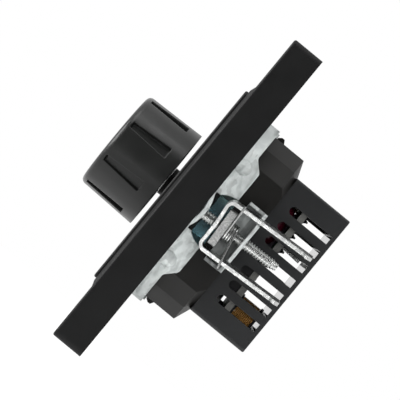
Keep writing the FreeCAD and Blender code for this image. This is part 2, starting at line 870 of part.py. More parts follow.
# Mounting frame: pressed steel flange with skirt, claw seats, straps and tongues
def make_mounting_frame():
    body = new_body("mounting_frame")
    pad(body, centred_square(new_sketch(body), "frame_side / 2"), "frame_thick")
    dress(body, "Fillet", lambda m, d, e: along_z(d), "frame_corner")

    skirt = new_sketch(body, "-skirt_depth")
    centred_square(skirt, "skirt_half")
    centred_square(skirt, "skirt_half - skirt_wall")
    pad(body, skirt, "skirt_depth + frame_thick / 2")
    half = size("skirt_half")
    dress(
        body,
        "Fillet",
        lambda m, d, e: along_z(d) and abs(abs(m.x) - half) < 1e-3 and abs(abs(m.y) - half) < 1e-3,
        "skirt_corner",
    )
    inner = half - size("skirt_wall")
    dress(
        body,
        "Fillet",
        lambda m, d, e: along_z(d) and abs(abs(m.x) - inner) < 1e-3 and abs(abs(m.y) - inner) < 1e-3,
        "skirt_corner - skirt_wall",
    )
    ends = new_sketch(body, "0", "YZ_Plane")
    for side in (1, -1):
        outline(
            ends,
            [
                (f"{side} * skirt_step", "-skirt_depth"),
                (f"{side} * skirt_step", "-skirt_depth - overcut"),
                (f"{side} * (skirt_half + overcut)", "-skirt_depth - overcut"),
                (f"{side} * (skirt_half + overcut)", "-skirt_end_depth"),
                (f"{side} * (skirt_step + skirt_step_slope)", "-skirt_end_depth"),
            ],
        )
    cut_through(body, ends)
    step = size("skirt_step")
    slope = size("skirt_step_slope")
    deep = size("skirt_depth")
    shallow = size("skirt_end_depth")
    dress(
        body,
        "Fillet",
        lambda m, d, e: abs(d.x) > 0.999
        and (
            (abs(abs(m.y) - step) < 1e-3 and abs(m.z + deep) < 1e-3)
            or (abs(abs(m.y) - step - slope) < 1e-3 and abs(m.z + shallow) < 1e-3)
        ),
        "skirt_step_round",
    )

    # Short catch on each end wall, where the latches of the housing snap in
    catches = new_sketch(body, "-catch_depth")
    for side in (1, -1):
        rectangle(
            catches,
            "-latch_half",
            "latch_half",
            f"{side} * (skirt_half - skirt_wall)",
            f"{side} * skirt_half",
        )
    pad(body, catches, "catch_depth - skirt_end_depth + root")

    # Notch in each side wall for a claw
    notches = new_sketch(body, "-skirt_depth - overcut")
    for side in ("", "-"):
        rectangle(
            notches,
            f"{side}(skirt_half - skirt_wall - overcut)",
            f"{side}(skirt_half + overcut)",
            "-notch_half",
            "notch_half",
        )
    pocket(body, notches, "skirt_depth + overcut - notch_end")

    # Stiffening darts where the skirt meets the flange
    for side in (1, -1):
        for up in (1, -1):
            dart = body.newObject("PartDesign::AdditiveEllipsoid", "dart")
            dart.AttachmentSupport = (origin_plane(body, "XY_Plane"), [""])
            dart.MapMode = "FlatFace"
            dart.setExpression("AttachmentOffset.Base.x", bound(f"{side} * (skirt_half - dart_sink)"))
            dart.setExpression("AttachmentOffset.Base.y", bound(f"{up} * dart_centre"))
            dart.setExpression("AttachmentOffset.Base.z", bound("-dart_centre_depth"))
            dart.setExpression("Radius1", bound("dart_half_depth"))
            dart.setExpression("Radius2", bound("dart_rise"))
            dart.setExpression("Radius3", bound("dart_half"))
            settle(body, dart)

    # Windows: control bushing, cover legs, housing screws, claw screw heads
    bushing_hole = circle(new_sketch(body, "-overcut"), "bushing_radius + leg_clearance / 2")
    pocket(body, bushing_hole, "frame_thick + 2 * overcut")
    leg = rectangle(
        new_sketch(body, "-overcut"),
        "leg_centre - leg_thick / 2 - leg_clearance",
        "leg_centre + leg_thick / 2 + hook_reach + leg_clearance",
        "-leg_width / 2 - leg_clearance",
        "leg_width / 2 + leg_clearance",
    )
    leg_cut = pocket(body, leg, "frame_thick + 2 * overcut")
    polar(body, [leg_cut], "4", leg)
    holes = new_sketch(body, "-overcut")
    for across in ("-post_offset", "post_offset"):
        for up in ("-post_offset", "post_offset"):
            circle(holes, "housing_screw_radius + leg_clearance", across, up)
    pocket(body, holes, "frame_thick + 2 * overcut")
    heads = new_sketch(body, "-overcut")
    for side in (1, -1):
        rectangle(
            heads,
            f"{side} * (screw_offset - strap_width / 2)",
            f"{side} * (screw_offset + strap_width / 2)",
            "-strap_window",
            "strap_window",
        )
    pocket(body, heads, "frame_thick + 2 * overcut")

    # Slots for the wall box screws
    slots = new_sketch(body, "-overcut")
    for up in (1, -1):
        slot_outline(slots, up)
    pocket(body, slots, "frame_thick + 2 * overcut")

    # Bowed strap that carries each claw screw's head
    for side in (1, -1):
        strap = new_sketch(body, f"{side} * screw_offset - strap_width / 2", "YZ_Plane")
        bow_outline(strap)
        pad(body, strap, "strap_width")

    # Tongue, side tabs and rear lug of each claw seat
    for side in (1, -1):
        near = f"{side} * tongue_inner"
        far = f"{side} * (tongue_inner + tongue_thick)"
        narrow = rectangle(
            new_sketch(body, "-tongue_wide_start - root"), near, far, "-tongue_half", "tongue_half"
        )
        pad(body, narrow, "tongue_wide_start + root + frame_thick / 2")
        wide = rectangle(
            new_sketch(body, "-lug_front - lug_thick"),
            near,
            far,
            "-tongue_wide_half",
            "tongue_wide_half",
        )
        pad(body, wide, "lug_front + lug_thick - tongue_wide_start")
        lug = rectangle(
            new_sketch(body, "-lug_front - lug_thick"),
            near,
            f"{side} * lug_outer",
            "-lug_half",
            "lug_half",
        )
        pad(body, lug, "lug_thick")
        tabs = new_sketch(body, "-tab_end")
        for up in (1, -1):
            rectangle(
                tabs,
                near,
                f"{side} * tab_reach",
                f"{up} * (tongue_wide_half - tab_thick)",
                f"{up} * tongue_wide_half",
            )
        pad(body, tabs, "tab_end - tab_start")
    screw_holes = new_sketch(body, "-lug_front - lug_thick - overcut")
    strap_holes = new_sketch(body, "-strap_bulge - overcut")
    for side in (1, -1):
        circle(screw_holes, "lug_hole_radius", f"{side} * screw_offset", "0")
        circle(strap_holes, "strap_hole_radius", f"{side} * screw_offset", "0")
    pocket(body, screw_holes, "lug_thick + 2 * overcut")
    pocket(body, strap_holes, "strap_bulge + frame_thick + 2 * overcut")
    return finish(body, "mounting_frame")


def slot_outline(sketch, up):
    """Draw one round-ended slot that runs up and down, centred half a pitch from the middle."""
    middle = f"{up} * slot_pitch / 2"
    reach = "(slot_length - slot_width) / 2"
    radius = size("slot_width") / 2
    half = size("slot_length") / 2 - radius
    low = FreeCAD.Vector(0, up * size("slot_pitch") / 2 - half, 0)
    high = FreeCAD.Vector(0, up * size("slot_pitch") / 2 + half, 0)
    aside = FreeCAD.Vector(radius, 0, 0)
    rear_end = Part.Circle(low, FreeCAD.Vector(0, 0, 1), radius)
    front_end = Part.Circle(high, FreeCAD.Vector(0, 0, 1), radius)
    lower = sketch.addGeometry(Part.ArcOfCircle(rear_end, math.pi, 2 * math.pi))
    upper = sketch.addGeometry(Part.ArcOfCircle(front_end, 0, math.pi))
    right = sketch.addGeometry(Part.LineSegment(low + aside, high + aside))
    left = sketch.addGeometry(Part.LineSegment(high - aside, low - aside))
    sketch.addConstraint(Sketcher.Constraint("Tangent", lower, 2, right, 1))
    sketch.addConstraint(Sketcher.Constraint("Tangent", right, 2, upper, 1))
    sketch.addConstraint(Sketcher.Constraint("Tangent", upper, 2, left, 1))
    sketch.addConstraint(Sketcher.Constraint("Tangent", left, 2, lower, 1))
    place_point(sketch, lower, 3, "0", f"{middle} - {reach}")
    place_point(sketch, upper, 3, "0", f"{middle} + {reach}")
    index = sketch.addConstraint(Sketcher.Constraint("Radius", lower, radius))
    sketch.setExpression(f"Constraints[{index}]", bound("slot_width / 2"))


def bow_outline(sketch):
    """Draw the bowed section of a strap: two arcs joined by its cut ends."""
    half = size("strap_half")
    bulge = size("strap_bulge")
    thick = size("strap_thick")
    ends = [(-half, 0.0), (half, 0.0), (half, thick), (-half, thick)]
    points = [FreeCAD.Vector(across, along, 0) for across, along in ends]
    rear = sketch.addGeometry(Part.Arc(points[0], FreeCAD.Vector(0, -bulge, 0), points[1]))
    right = sketch.addGeometry(Part.LineSegment(points[1], points[2]))
    front = sketch.addGeometry(Part.Arc(points[3], FreeCAD.Vector(0, thick - bulge, 0), points[2]))
    left = sketch.addGeometry(Part.LineSegment(points[3], points[0]))
    place_point(sketch, right, 1, "strap_half", "0")
    place_point(sketch, right, 2, "strap_half", "strap_thick")
    place_point(sketch, left, 1, "-strap_half", "strap_thick")
    place_point(sketch, left, 2, "-strap_half", "0")
    for arc, start, end in ((rear, (left, 2), (right, 1)), (front, (left, 1), (right, 2))):
        sketch.addConstraint(Sketcher.Constraint("Coincident", arc, 1, *start))
        sketch.addConstraint(Sketcher.Constraint("Coincident", arc, 2, *end))
        radius = sketch.Geometry[arc].Radius
        index = sketch.addConstraint(Sketcher.Constraint("Radius", arc, radius))
        sketch.setExpression(
            f"Constraints[{index}]", bound("(strap_half^2 + strap_bulge^2) / (2 * strap_bulge)")
        )


# Claw sets: screw, nut plate, U-shaped claw, torsion spring and insulating disc
def claw_placement(side, rolled):
    """Place a claw piece on its screw axis: leaning a little, and hanging askew if it is loose."""
    pose = FreeCAD.Placement(
        FreeCAD.Vector(size("screw_offset"), 0, -size("screw_drop")),
        FreeCAD.Rotation(FreeCAD.Vector(1, 0, 0), 90 + size("claw_lean")),
    )
    if rolled:
        roll = FreeCAD.Rotation(FreeCAD.Vector(0, 0, 1), -size("claw_roll"))
        pose = pose.multiply(FreeCAD.Placement(FreeCAD.Vector(), roll))
    if side == "left":
        turn = FreeCAD.Placement(FreeCAD.Vector(), FreeCAD.Rotation(FreeCAD.Vector(0, 1, 0), 180))
        pose = turn.multiply(pose)
    return pose


def make_claw_screw(side):
    body = new_body(f"claw_screw_{side}", claw_placement(side, False))
    profile = new_sketch(body, "0", "XZ_Plane")
    outline(
        profile,
        [
            ("0", "-screw_length"),
            ("screw_tip_radius", "-screw_length"),
            ("screw_radius", "-screw_length + screw_tip_length"),
            ("screw_radius", "head_seat"),
            ("head_radius", "head_seat"),
            ("head_radius", "head_seat + 0.6 * head_thick"),
            ("0.7 * head_radius", "head_seat + head_thick"),
            ("0", "head_seat + head_thick"),
        ],
    )
    revolve(body, profile)
    cross = new_sketch(body, "head_seat + head_thick - head_slot_depth")
    arm = "head_slot_width / 2"
    reach = "0.62 * head_radius"
    outline(
        cross,
        [
            (f"-({reach})", f"-{arm}"),
            (f"-{arm}", f"-{arm}"),
            (f"-{arm}", f"-({reach})"),
            (arm, f"-({reach})"),
            (arm, f"-{arm}"),
            (reach, f"-{arm}"),
            (reach, arm),
            (arm, arm),
            (arm, reach),
            (f"-{arm}", reach),
            (f"-{arm}", arm),
            (f"-({reach})", arm),
        ],
    )
    pocket(body, cross, "head_slot_depth + overcut")
    return finish(body, f"claw_screw_{side}")


def make_claw_nut(side):
    body = new_body(f"claw_nut_{side}", claw_placement(side, True))
    front = "claw_front + claw_thick + nut_gap"
    plate = new_sketch(body, f"-({front}) - claw_nut_thick")
    rectangle(plate, "-claw_nut_depth", "claw_nut_depth", "-claw_nut_half", "claw_nut_half")
    circle(plate, "screw_radius + claw_nut_clearance")
    pad(body, plate, "claw_nut_thick")
    deep = size("claw_nut_depth")
    dress(
        body,
        "Chamfer",
        lambda m, d, e: along_z(d) and abs(abs(m.x) - deep) < 1e-3,
        "claw_nut_corner",
    )
    return finish(body, f"claw_nut_{side}")


def claw_outline(sketch):
    """Draw the U of a claw: two prongs joined by a base that bows towards the nut."""
    half = size("claw_half")
    inner = half - size("claw_thick")
    tip = -size("claw_tip")
    bow = size("claw_bow")
    front = bow - size("claw_front")
    rear = front - size("claw_thick")
    names = [
        ("-claw_half + claw_thick", "claw_bow - claw_front - claw_thick"),
        ("-claw_half + claw_thick", "-claw_tip"),
        ("-claw_half", "-claw_tip"),
        ("-claw_half", "claw_bow - claw_front"),
        ("claw_half", "claw_bow - claw_front"),
        ("claw_half", "-claw_tip"),
        ("claw_half - claw_thick", "-claw_tip"),
        ("claw_half - claw_thick", "claw_bow - claw_front - claw_thick"),
    ]
    ends = [
        (-inner, rear),
        (-inner, tip),
        (-half, tip),
        (-half, front),
        (half, front),
        (half, tip),
        (inner, tip),
        (inner, rear),
    ]
    points = [FreeCAD.Vector(across, along, 0) for across, along in ends]
    prongs = []
    for first in (0, 4):
        chain = points[first : first + 4]
        lines = [
            sketch.addGeometry(Part.LineSegment(start, end)) for start, end in zip(chain, chain[1:])
        ]
        for number, line in enumerate(lines):
            place_point(sketch, line, 1, *names[first + number])
            if number:
                sketch.addConstraint(
                    Sketcher.Constraint("Coincident", lines[number - 1], 2, line, 1)
                )
        place_point(sketch, lines[-1], 2, *names[first + 3])
        prongs.append(lines)
    bows = (
        (points[3], points[4], prongs[0][2], 2, prongs[1][0], 1, "claw_half"),
        (points[0], points[7], prongs[0][0], 1, prongs[1][2], 2, "(claw_half - claw_thick)"),
    )
    for start, end, left, left_end, right, right_end, reach in bows:
        middle = FreeCAD.Vector(0, start.y - bow, 0)
        arc = sketch.addGeometry(Part.Arc(start, middle, end))
        sketch.addConstraint(Sketcher.Constraint("Coincident", arc, 1, left, left_end))
        sketch.addConstraint(Sketcher.Constraint("Coincident", arc, 2, right, right_end))
        radius = sketch.Geometry[arc].Radius
        index = sketch.addConstraint(Sketcher.Constraint("Radius", arc, radius))
        sketch.setExpression(
            f"Constraints[{index}]", bound(f"({reach}^2 + claw_bow^2) / (2 * claw_bow)")
        )


def make_claw(side):
    body = new_body(f"claw_{side}", claw_placement(side, True))
    strip = new_sketch(body, "-claw_inner", "YZ_Plane")
    claw_outline(strip)
    pad(body, strip, "claw_inner + claw_outer + tooth_rise")
    front = size("claw_front") - size("claw_bow")
    inside = front + size("claw_thick")
    dress(
        body,
        "Fillet",
        lambda m, d, e: abs(d.x) > 0.999 and abs(m.z + front) < 1e-3,
        "claw_bend",
    )
    dress(
        body,
        "Fillet",
        lambda m, d, e: abs(d.x) > 0.999 and abs(m.z + inside) < 1e-3,
        "claw_bend - claw_thick",
    )
    edge = new_sketch(body, "0", "XZ_Plane")
    outline(
        edge,
        [
            ("claw_outer", "overcut"),
            ("claw_outer + tooth_rise + overcut", "overcut"),
            ("claw_outer + tooth_rise + overcut", "-claw_tip + tooth_length"),
            ("claw_outer + tooth_rise", "-claw_tip + tooth_length"),
            ("claw_outer", "-claw_tip + tooth_length + tooth_rise"),
        ],
    )
    cut_through(body, edge)
    bite = new_sketch(body, "0", "XZ_Plane")
    outline(
        bite,
        [
            ("claw_outer", "-claw_tip - overcut"),
            ("claw_outer", "-claw_tip"),
            ("claw_outer + tooth_rise", "-claw_tip + 0.6 * tooth_length"),
            ("claw_outer + tooth_rise + overcut", "-claw_tip + 0.6 * tooth_length"),
            ("claw_outer + tooth_rise + overcut", "-claw_tip - overcut"),
        ],
    )
    cut_through(body, bite)
    hole = circle(new_sketch(body, "-claw_front - claw_thick - overcut"), "claw_hole_radius")
    pocket(body, hole, "claw_thick + 2 * overcut")
    return finish(body, f"claw_{side}")


def make_claw_spring(side):
    """Coil the return spring round the screw and lead its two legs over the claw's prongs."""
    wire = size("wire_radius")
    coil = size("coil_radius")
    pitch = size("coil_pitch")
    turns = int(size("coil_turns"))
    nut_rear = size("claw_front") + size("claw_thick") + size("nut_gap") + size("claw_nut_thick")
    first = -(nut_rear + size("coil_gap") + wire)
    last = first - pitch * (turns - 1)
    leave = math.radians(size("coil_leave"))
    away = (coil * math.cos(leave), coil * math.sin(leave))
    over = size("claw_outer") + wire + size("spring_leg_lift")
    prong = size("claw_half") - size("claw_thick")
    slant = size("spring_leg_slant")
    routes = (
        [(away[0], away[1], first), (over, prong, first), (over, size("spring_leg_top"), first)],
        [(away[0], -away[1], last), (over, -prong, last - slant), (over, -size("spring_leg_low"), last - slant)],
    )
    rings = [Part.makeTorus(coil, wire, FreeCAD.Vector(0, 0, first - turn * pitch)) for turn in range(turns)]
    solid = rings[0].multiFuse(rings[1:])
    for route in routes:
        points = [FreeCAD.Vector(*point) for point in route]
        for start, end in zip(points, points[1:]):
            run = end.sub(start)
            solid = solid.fuse(Part.makeCylinder(wire, run.Length, start, run))
        solid = solid.fuse(Part.makeSphere(wire + size("bend_swell"), points[1]))
    feature = doc.addObject("Part::Feature", f"claw_spring_{side}")
    feature.Shape = solid
    feature.Placement = claw_placement(side, True)
    return finish(feature, f"claw_spring_{side}")


def make_claw_disc(side):
    """Make the thin disc that lies on the skirt, with its front and rear segments cut away."""
    body = new_body(f"claw_disc_{side}")
    turn = FreeCAD.Placement(FreeCAD.Vector(), FreeCAD.Rotation(FreeCAD.Vector(0, 1, 0), 180))
    if side == "left":
        body.Placement = turn.multiply(upright)
    disc = new_sketch(body, "skirt_half", "YZ_Plane")
    circle(disc, "disc_radius", "0", "-disc_centre")
    pad(body, disc, "disc_thick")
    trim = new_sketch(body, "skirt_half - overcut", "YZ_Plane")
    edge = "disc_radius + overcut"
    rectangle(trim, f"-({edge})", edge, "-disc_trim", edge)
    rectangle(trim, f"-({edge})", edge, f"-disc_centre - ({edge})", "-disc_end")
    pocket(body, trim, "disc_thick + 2 * overcut")
    return finish(body, f"claw_disc_{side}")


# Upper housing: a twelve-sided tray with posts, latches and wire holes
def make_upper_housing():
    body = new_body("upper_housing")
    mid = "housing_bevel_mid"
    far = "housing_bevel_far"
    side = new_sketch(body, "-housing_depth")
    outline(side, twelve_sides([("housing_half", far), (mid, mid), (far, "housing_half")]))
    pad(body, side, "housing_depth")
    loft = body.newObject("PartDesign::AdditiveLoft", "shoulder")
    wide = new_sketch(body, "-housing_depth")
    outline(wide, twelve_sides([("housing_half", far), (mid, mid), (far, "housing_half")]))
    narrow = new_sketch(body, "-shoulder_depth")
    drop = "shoulder_bevel_drop + shoulder_bevel_inset"
    outline(
        narrow,
        twelve_sides(
            [
                ("housing_half - shoulder_lip", f"{far} - shoulder_bevel_drop"),
                (f"{mid} - shoulder_bevel_inset", f"{mid} - ({drop})"),
                (far, "case_half_height + shoulder_lip"),
            ]
        ),
    )
    loft.Profile = wide
    loft.Sections = [narrow]
    loft.Ruled = True
    settle(body, loft)

    hollow = new_sketch(body, "-housing_depth + housing_wall")
    inner = "housing_half - housing_wall"
    inner_mid = f"{mid} - housing_wall"
    inner_far = f"{far} - housing_wall / 2"
    outline(hollow, twelve_sides([(inner, inner_far), (inner_mid, inner_mid), (inner_far, inner)]))
    pocket(body, hollow, "housing_depth")
    window = centred_square(new_sketch(body, "-shoulder_depth - overcut"), "floor_window")
    pocket(body, window, "shoulder_depth - housing_depth + housing_wall + 2 * overcut")

    posts = new_sketch(body, "-housing_depth + housing_wall / 2")
    bores = new_sketch(body, "-post_bore_depth")
    for across in ("-post_offset", "post_offset"):
        for up in ("-post_offset", "post_offset"):
            circle(posts, "post_radius", across, up)
            circle(bores, "post_bore", across, up)
    pad(body, posts, "housing_depth - housing_wall / 2")
    pocket(body, bores, "post_bore_depth + overcut")

    # Long posts that the circuit board is clamped to
    long_posts = new_sketch(body, "-board_front")
    for sign in (1, -1):
        circle(long_posts, "case_post_radius", f"{sign} * case_post_x", f"{sign} * case_post_y")
    pad(body, long_posts, "board_front - housing_depth")
    long_bores = new_sketch(body, "-board_front - overcut")
    for sign in (1, -1):
        circle(long_bores, "case_screw_radius", f"{sign} * case_post_x", f"{sign} * case_post_y")
    pocket(body, long_bores, "board_front - housing_depth + overcut")

    for up in (1, -1):
        latch = new_sketch(body, "-latch_half", "YZ_Plane")
        outline(
            latch,
            [
                (f"{up} * (housing_half - root)", "-latch_front"),
                (f"{up} * (housing_half + latch_lead)", "-latch_front"),
                (f"{up} * (housing_half + latch_rise)", "-latch_front - latch_lead_depth"),
                (
                    f"{up} * (housing_half + latch_rise)",
                    "-latch_front - latch_lead_depth - latch_flat",
                ),
                (f"{up} * housing_half", "-latch_end"),
                (f"{up} * (housing_half - root)", "-latch_end"),
            ],
        )
        pad(body, latch, "2 * latch_half")

    entries = new_sketch(body, "-housing_half - latch_rise - overcut", "XZ_Plane")
    for column in ("-terminal_pitch", "terminal_pitch"):
        circle(entries, "wire_hole_radius", column, "-terminal_depth")
    pocket(body, entries, "housing_wall + latch_rise + 2 * overcut")
    return finish(body, "upper_housing")


def twelve_sides(quarter):
    """List the corners of a doubly bevelled square from the three in its first quarter."""
    corners = list(quarter)
    corners += [(f"-({across})", up) for across, up in reversed(quarter)]
    corners += [(f"-({across})", f"-({up})") for across, up in quarter]
    corners += [(across, f"-({up})") for across, up in reversed(quarter)]
    return corners


# Rear case: a slotted box that closes the back
def make_rear_case():
    body = new_body("rear_case")
    box = rectangle(
        new_sketch(body, "-case_end"),
        "-case_half_width",
        "case_half_width",
        "-case_half_height",
        "case_half_height",
    )
    pad(body, box, "case_end - shoulder_depth")
    dress(body, "Fillet", lambda m, d, e: along_z(d), "case_corner")
    rear = -size("case_end")
    dress(body, "Fillet", lambda m, d, e: flat_at(m, d, rear), "0.4 * case_corner")
    hollow = rectangle(
        new_sketch(body, "-case_end + case_wall"),
        "-case_half_width + case_wall",
        "case_half_width - case_wall",
        "-case_half_height + case_wall",
        "case_half_height - case_wall",
    )
    pocket(body, hollow, "case_end")
    posts = new_sketch(body, "-case_end + case_wall / 2")
    bores = new_sketch(body, "-case_end - overcut")
    heads = new_sketch(body, "-case_end - overcut")
    for sign in (1, -1):
        centre = (f"{sign} * case_post_x", f"{sign} * case_post_y")
        circle(posts, "case_post_radius", *centre)
        circle(bores, "case_screw_radius + case_screw_clearance", *centre)
        circle(heads, "case_screw_head_radius + case_screw_clearance", *centre)
    pad(body, posts, "case_end - case_wall / 2 - board_front - board_thick")
    pocket(body, bores, "case_end - board_front")
    pocket(body, heads, "case_screw_head + overcut")

    middle = "-vent_pitch * (vent_count - 1) / 2"
    straight = "-vent_front - vent_height / 2"
    vent = rectangle(
        new_sketch(body, "0", "YZ_Plane"),
        f"{middle} - vent_height / 2",
        f"{middle} + vent_height / 2",
        "-vent_end",
        straight,
    )
    vent_cut = cut_through(body, vent)
    nose = circle(new_sketch(body, "0", "YZ_Plane"), "vent_height / 2", middle, straight)
    nose_cut = cut_through(body, nose)
    pattern = body.newObject("PartDesign::LinearPattern", "vents")
    pattern.Originals = [vent_cut, nose_cut]
    pattern.Direction = (vent, ["H_Axis"])
    pattern.setExpression("Occurrences", bound("vent_count"))
    pattern.setExpression("Length", bound("vent_pitch * (vent_count - 1)"))
    pattern.Reversed = False
    settle(body, pattern)
    return finish(body, "rear_case")


# Simple solids on and round the circuit board
def block(name, left, right, bottom, top, rear, front):
    """Make a box-shaped piece between six named faces."""
    body = new_body(name)
    sketch = rectangle(new_sketch(body, rear), left, right, bottom, top)
    pad(body, sketch, f"({front}) - ({rear})")
    return body


def rod(name, radius, across, up, rear, front):
    """Make a round piece that stands on the board."""
    body = new_body(name)
    pad(body, circle(new_sketch(body, rear), radius, across, up), f"({front}) - ({rear})")
    return body


def make_board():
    body = block(
        "circuit_board",
        "-case_half_width + case_wall + board_gap",
        "case_half_width - case_wall - board_gap",
        "-case_half_height + case_wall + board_gap",
        "case_half_height - case_wall - board_gap",
        "-board_front - board_thick",
        "-board_front",
    )
    holes = new_sketch(body, "-board_front - board_thick - overcut")
    for sign in (1, -1):
        circle(
            holes,
            "case_screw_radius + case_screw_clearance",
            f"{sign} * case_post_x",
            f"{sign} * case_post_y",
        )
    pocket(body, holes, "board_thick + 2 * overcut")
    return finish(body, "circuit_board")


def make_power_parts():
    sink_rear = "-board_front + triac_thick + sink_gap"
    sink = block(
        "heat_sink",
        "sink_left",
        "sink_right",
        "sink_bottom",
        "sink_top",
        sink_rear,
        f"{sink_rear} + sink_thick",
    )
    leg = rectangle(
        new_sketch(sink, sink_rear),
        "sink_left",
        "sink_leg_right",
        "sink_bottom",
        "sink_bottom + sink_thick",
    )
    pad(sink, leg, f"-sink_leg_depth - ({sink_rear})")
    hole_y = "triac_top - triac_body - triac_tab / 2"
    hole_radius = "triac_screw_radius + sink_gap / 2"
    hole = circle(new_sketch(sink, f"{sink_rear} - overcut"), hole_radius, "triac_centre", hole_y)
    pocket(sink, hole, "sink_thick + 2 * overcut")
    finish(sink, "heat_sink")

    left = "triac_centre - triac_width / 2"
    right = "triac_centre + triac_width / 2"
    triac = block(
        "triac",
        left,
        right,
        "triac_top - triac_body",
        "triac_top",
        "-board_front + sink_gap",
        sink_rear,
    )
    tab = rectangle(
        new_sketch(triac, f"{sink_rear} - triac_tab_thick"),
        left,
        right,
        "triac_top - triac_body - triac_tab",
        "triac_top - triac_body + root",
    )
    pad(triac, tab, "triac_tab_thick")
    legs = new_sketch(triac, "-board_front")
    for step in (-1, 0, 1):
        rectangle(
            legs,
            f"triac_centre + {step} * triac_leg_pitch - triac_leg / 2",
            f"triac_centre + {step} * triac_leg_pitch + triac_leg / 2",
            "triac_top - root",
            "triac_top + 2 * triac_leg",
        )
    pad(triac, legs, "2 * triac_leg")
    tab_hole = circle(
        new_sketch(triac, f"{sink_rear} - triac_tab_thick - overcut"),
        hole_radius,
        "triac_centre",
        hole_y,
    )
    pocket(triac, tab_hole, "triac_tab_thick + 2 * overcut")
    finish(triac, "triac")

    seat = f"{sink_rear} - triac_tab_thick"
    end = f"{sink_rear} + sink_thick + overcut"
    screw = rod("triac_screw", "triac_screw_radius", "triac_centre", hole_y, seat, end)
    low = new_sketch(screw, f"{seat} - triac_screw_head")
    pad(screw, circle(low, "1.5 * triac_screw_radius", "triac_centre", hole_y), "triac_screw_head")
    finish(screw, "triac_screw")


def make_capacitors():
    red = block(
        "red_capacitor",
        "red_cap_left",
        "red_cap_right",
        "red_cap_bottom",
        "red_cap_top",
        "-board_front + red_cap_standoff",
        "-board_front + red_cap_standoff + red_cap_height",
    )
    dress(red, "Fillet", lambda m, d, e: True, "red_cap_round")
    leads = new_sketch(red, "-board_front")
    for end in ("red_cap_bottom + red_cap_lead_inset", "red_cap_top - red_cap_lead_inset"):
        circle(leads, "lead_radius", "(red_cap_left + red_cap_right) / 2", end)
    pad(red, leads, "red_cap_standoff + 2 * root")
    finish(red, "red_capacitor")

    box = block(
        "suppressor_capacitor",
        "grey_cap_left",
        "grey_cap_right",
        "grey_cap_bottom",
        "grey_cap_top",
        "-board_front",
        "-board_front + grey_cap_height",
    )
    dress(box, "Fillet", lambda m, d, e: along_z(d), "grey_cap_corner")
    finish(box, "suppressor_capacitor")


def make_resistors():
    """Make the row of resistors as one group of separate solids, with bent leads to the board."""
    solids = []
    count = int(size("resistor_count"))
    lift = size("resistor_radius") + size("resistor_lift")
    for number in range(count):
        across = size("resistor_left") + size("resistor_radius") + number * size("resistor_pitch")
        solids.append(axial_part(across, size("resistor_radius"), size("resistor_length"), lift))
    feature = doc.addObject("Part::Feature", "resistors")
    feature.Shape = Part.makeCompound(solids)
    feature.Placement = upright
    finish(feature, "resistors")

    across = size("resistor_left") + size("resistor_radius") + count * size("resistor_pitch")
    diac = doc.addObject("Part::Feature", "diac")
    diac.Shape = axial_part(across, size("diac_radius"), size("diac_length"), lift)
    diac.Placement = upright
    finish(diac, "diac")


def axial_part(across, radius, length, lift):
    """Make a small axial component that lies along local y above the board's front."""
    middle = size("resistor_centre")
    level = -size("board_front") + lift
    wire = size("lead_radius")
    reach = size("lead_stub")
    up = FreeCAD.Vector(0, 1, 0)
    start = FreeCAD.Vector(across, middle - length / 2, level)
    solid = Part.makeCylinder(radius, length, start, up)
    for end, way in ((middle - length / 2, -1), (middle + length / 2, 1)):
        stub = FreeCAD.Vector(across, end, level)
        bend = FreeCAD.Vector(across, end + way * reach, level)
        solid = solid.fuse(Part.makeCylinder(wire, reach, stub, FreeCAD.Vector(0, way, 0)))
        solid = solid.fuse(Part.makeSphere(wire, bend))
        solid = solid.fuse(Part.makeCylinder(wire, lift, bend, FreeCAD.Vector(0, 0, -1)))
    return solid


def make_choke():
    rear = "-board_front - board_thick"
    core = new_body("choke_core")
    centre = ("choke_x", "choke_y")
    end = f"{rear} - choke_height"
    pad(core, circle(new_sketch(core, end), "choke_hub_radius", *centre), "choke_height")
    pad(core, circle(new_sketch(core, end), "choke_flange_radius", *centre), "choke_flange_thick")
    near = circle(new_sketch(core, f"{rear} - choke_flange_thick"), "choke_flange_radius", *centre)
    pad(core, near, "choke_flange_thick")
    finish(core, "choke_core")

    winding = new_body("choke_winding")
    ring = new_sketch(winding, f"{end} + choke_flange_thick")
    circle(ring, "choke_winding_radius", *centre)
    circle(ring, "choke_hub_radius + winding_fit", *centre)
    pad(winding, ring, "choke_height - 2 * choke_flange_thick")
    finish(winding, "choke_winding")


def make_fuse():
    level = -size("board_front") - size("board_thick") - size("fuse_lift")
    start = size("fuse_left")
    length = size("fuse_length")
    cap = size("fuse_cap_length")
    along = FreeCAD.Vector(1, 0, 0)
    base = FreeCAD.Vector(start, size("fuse_y"), level)

    glass = doc.addObject("Part::Feature", "fuse_glass")
    skin = size("fuse_cap_skin")
    glass_radius = size("fuse_glass_radius")
    outer = Part.makeCylinder(glass_radius, length - 2 * skin, base + along * skin, along)
    inner = Part.makeCylinder(glass_radius - size("fuse_glass_wall"), length, base, along)
    glass.Shape = outer.cut(inner)
    glass.Placement = upright
    finish(glass, "fuse_glass")

    caps = []
    clips = []
    for near, way in ((start, 1), (start + length, -1)):
        end = FreeCAD.Vector(near, size("fuse_y"), level)
        inward = FreeCAD.Vector(way, 0, 0)
        shell = Part.makeCylinder(size("fuse_radius"), cap, end, inward)
        bore = Part.makeCylinder(glass_radius + size("fuse_fit"), cap, end + inward * skin, inward)
        caps.append(shell.cut(bore))
        clips.append(fuse_clip(end, inward, level))
    for name, solids in (("fuse_caps", caps), ("fuse_clips", clips)):
        group = doc.addObject("Part::Feature", name)
        group.Shape = Part.makeCompound(solids)
        group.Placement = upright
        finish(group, name)


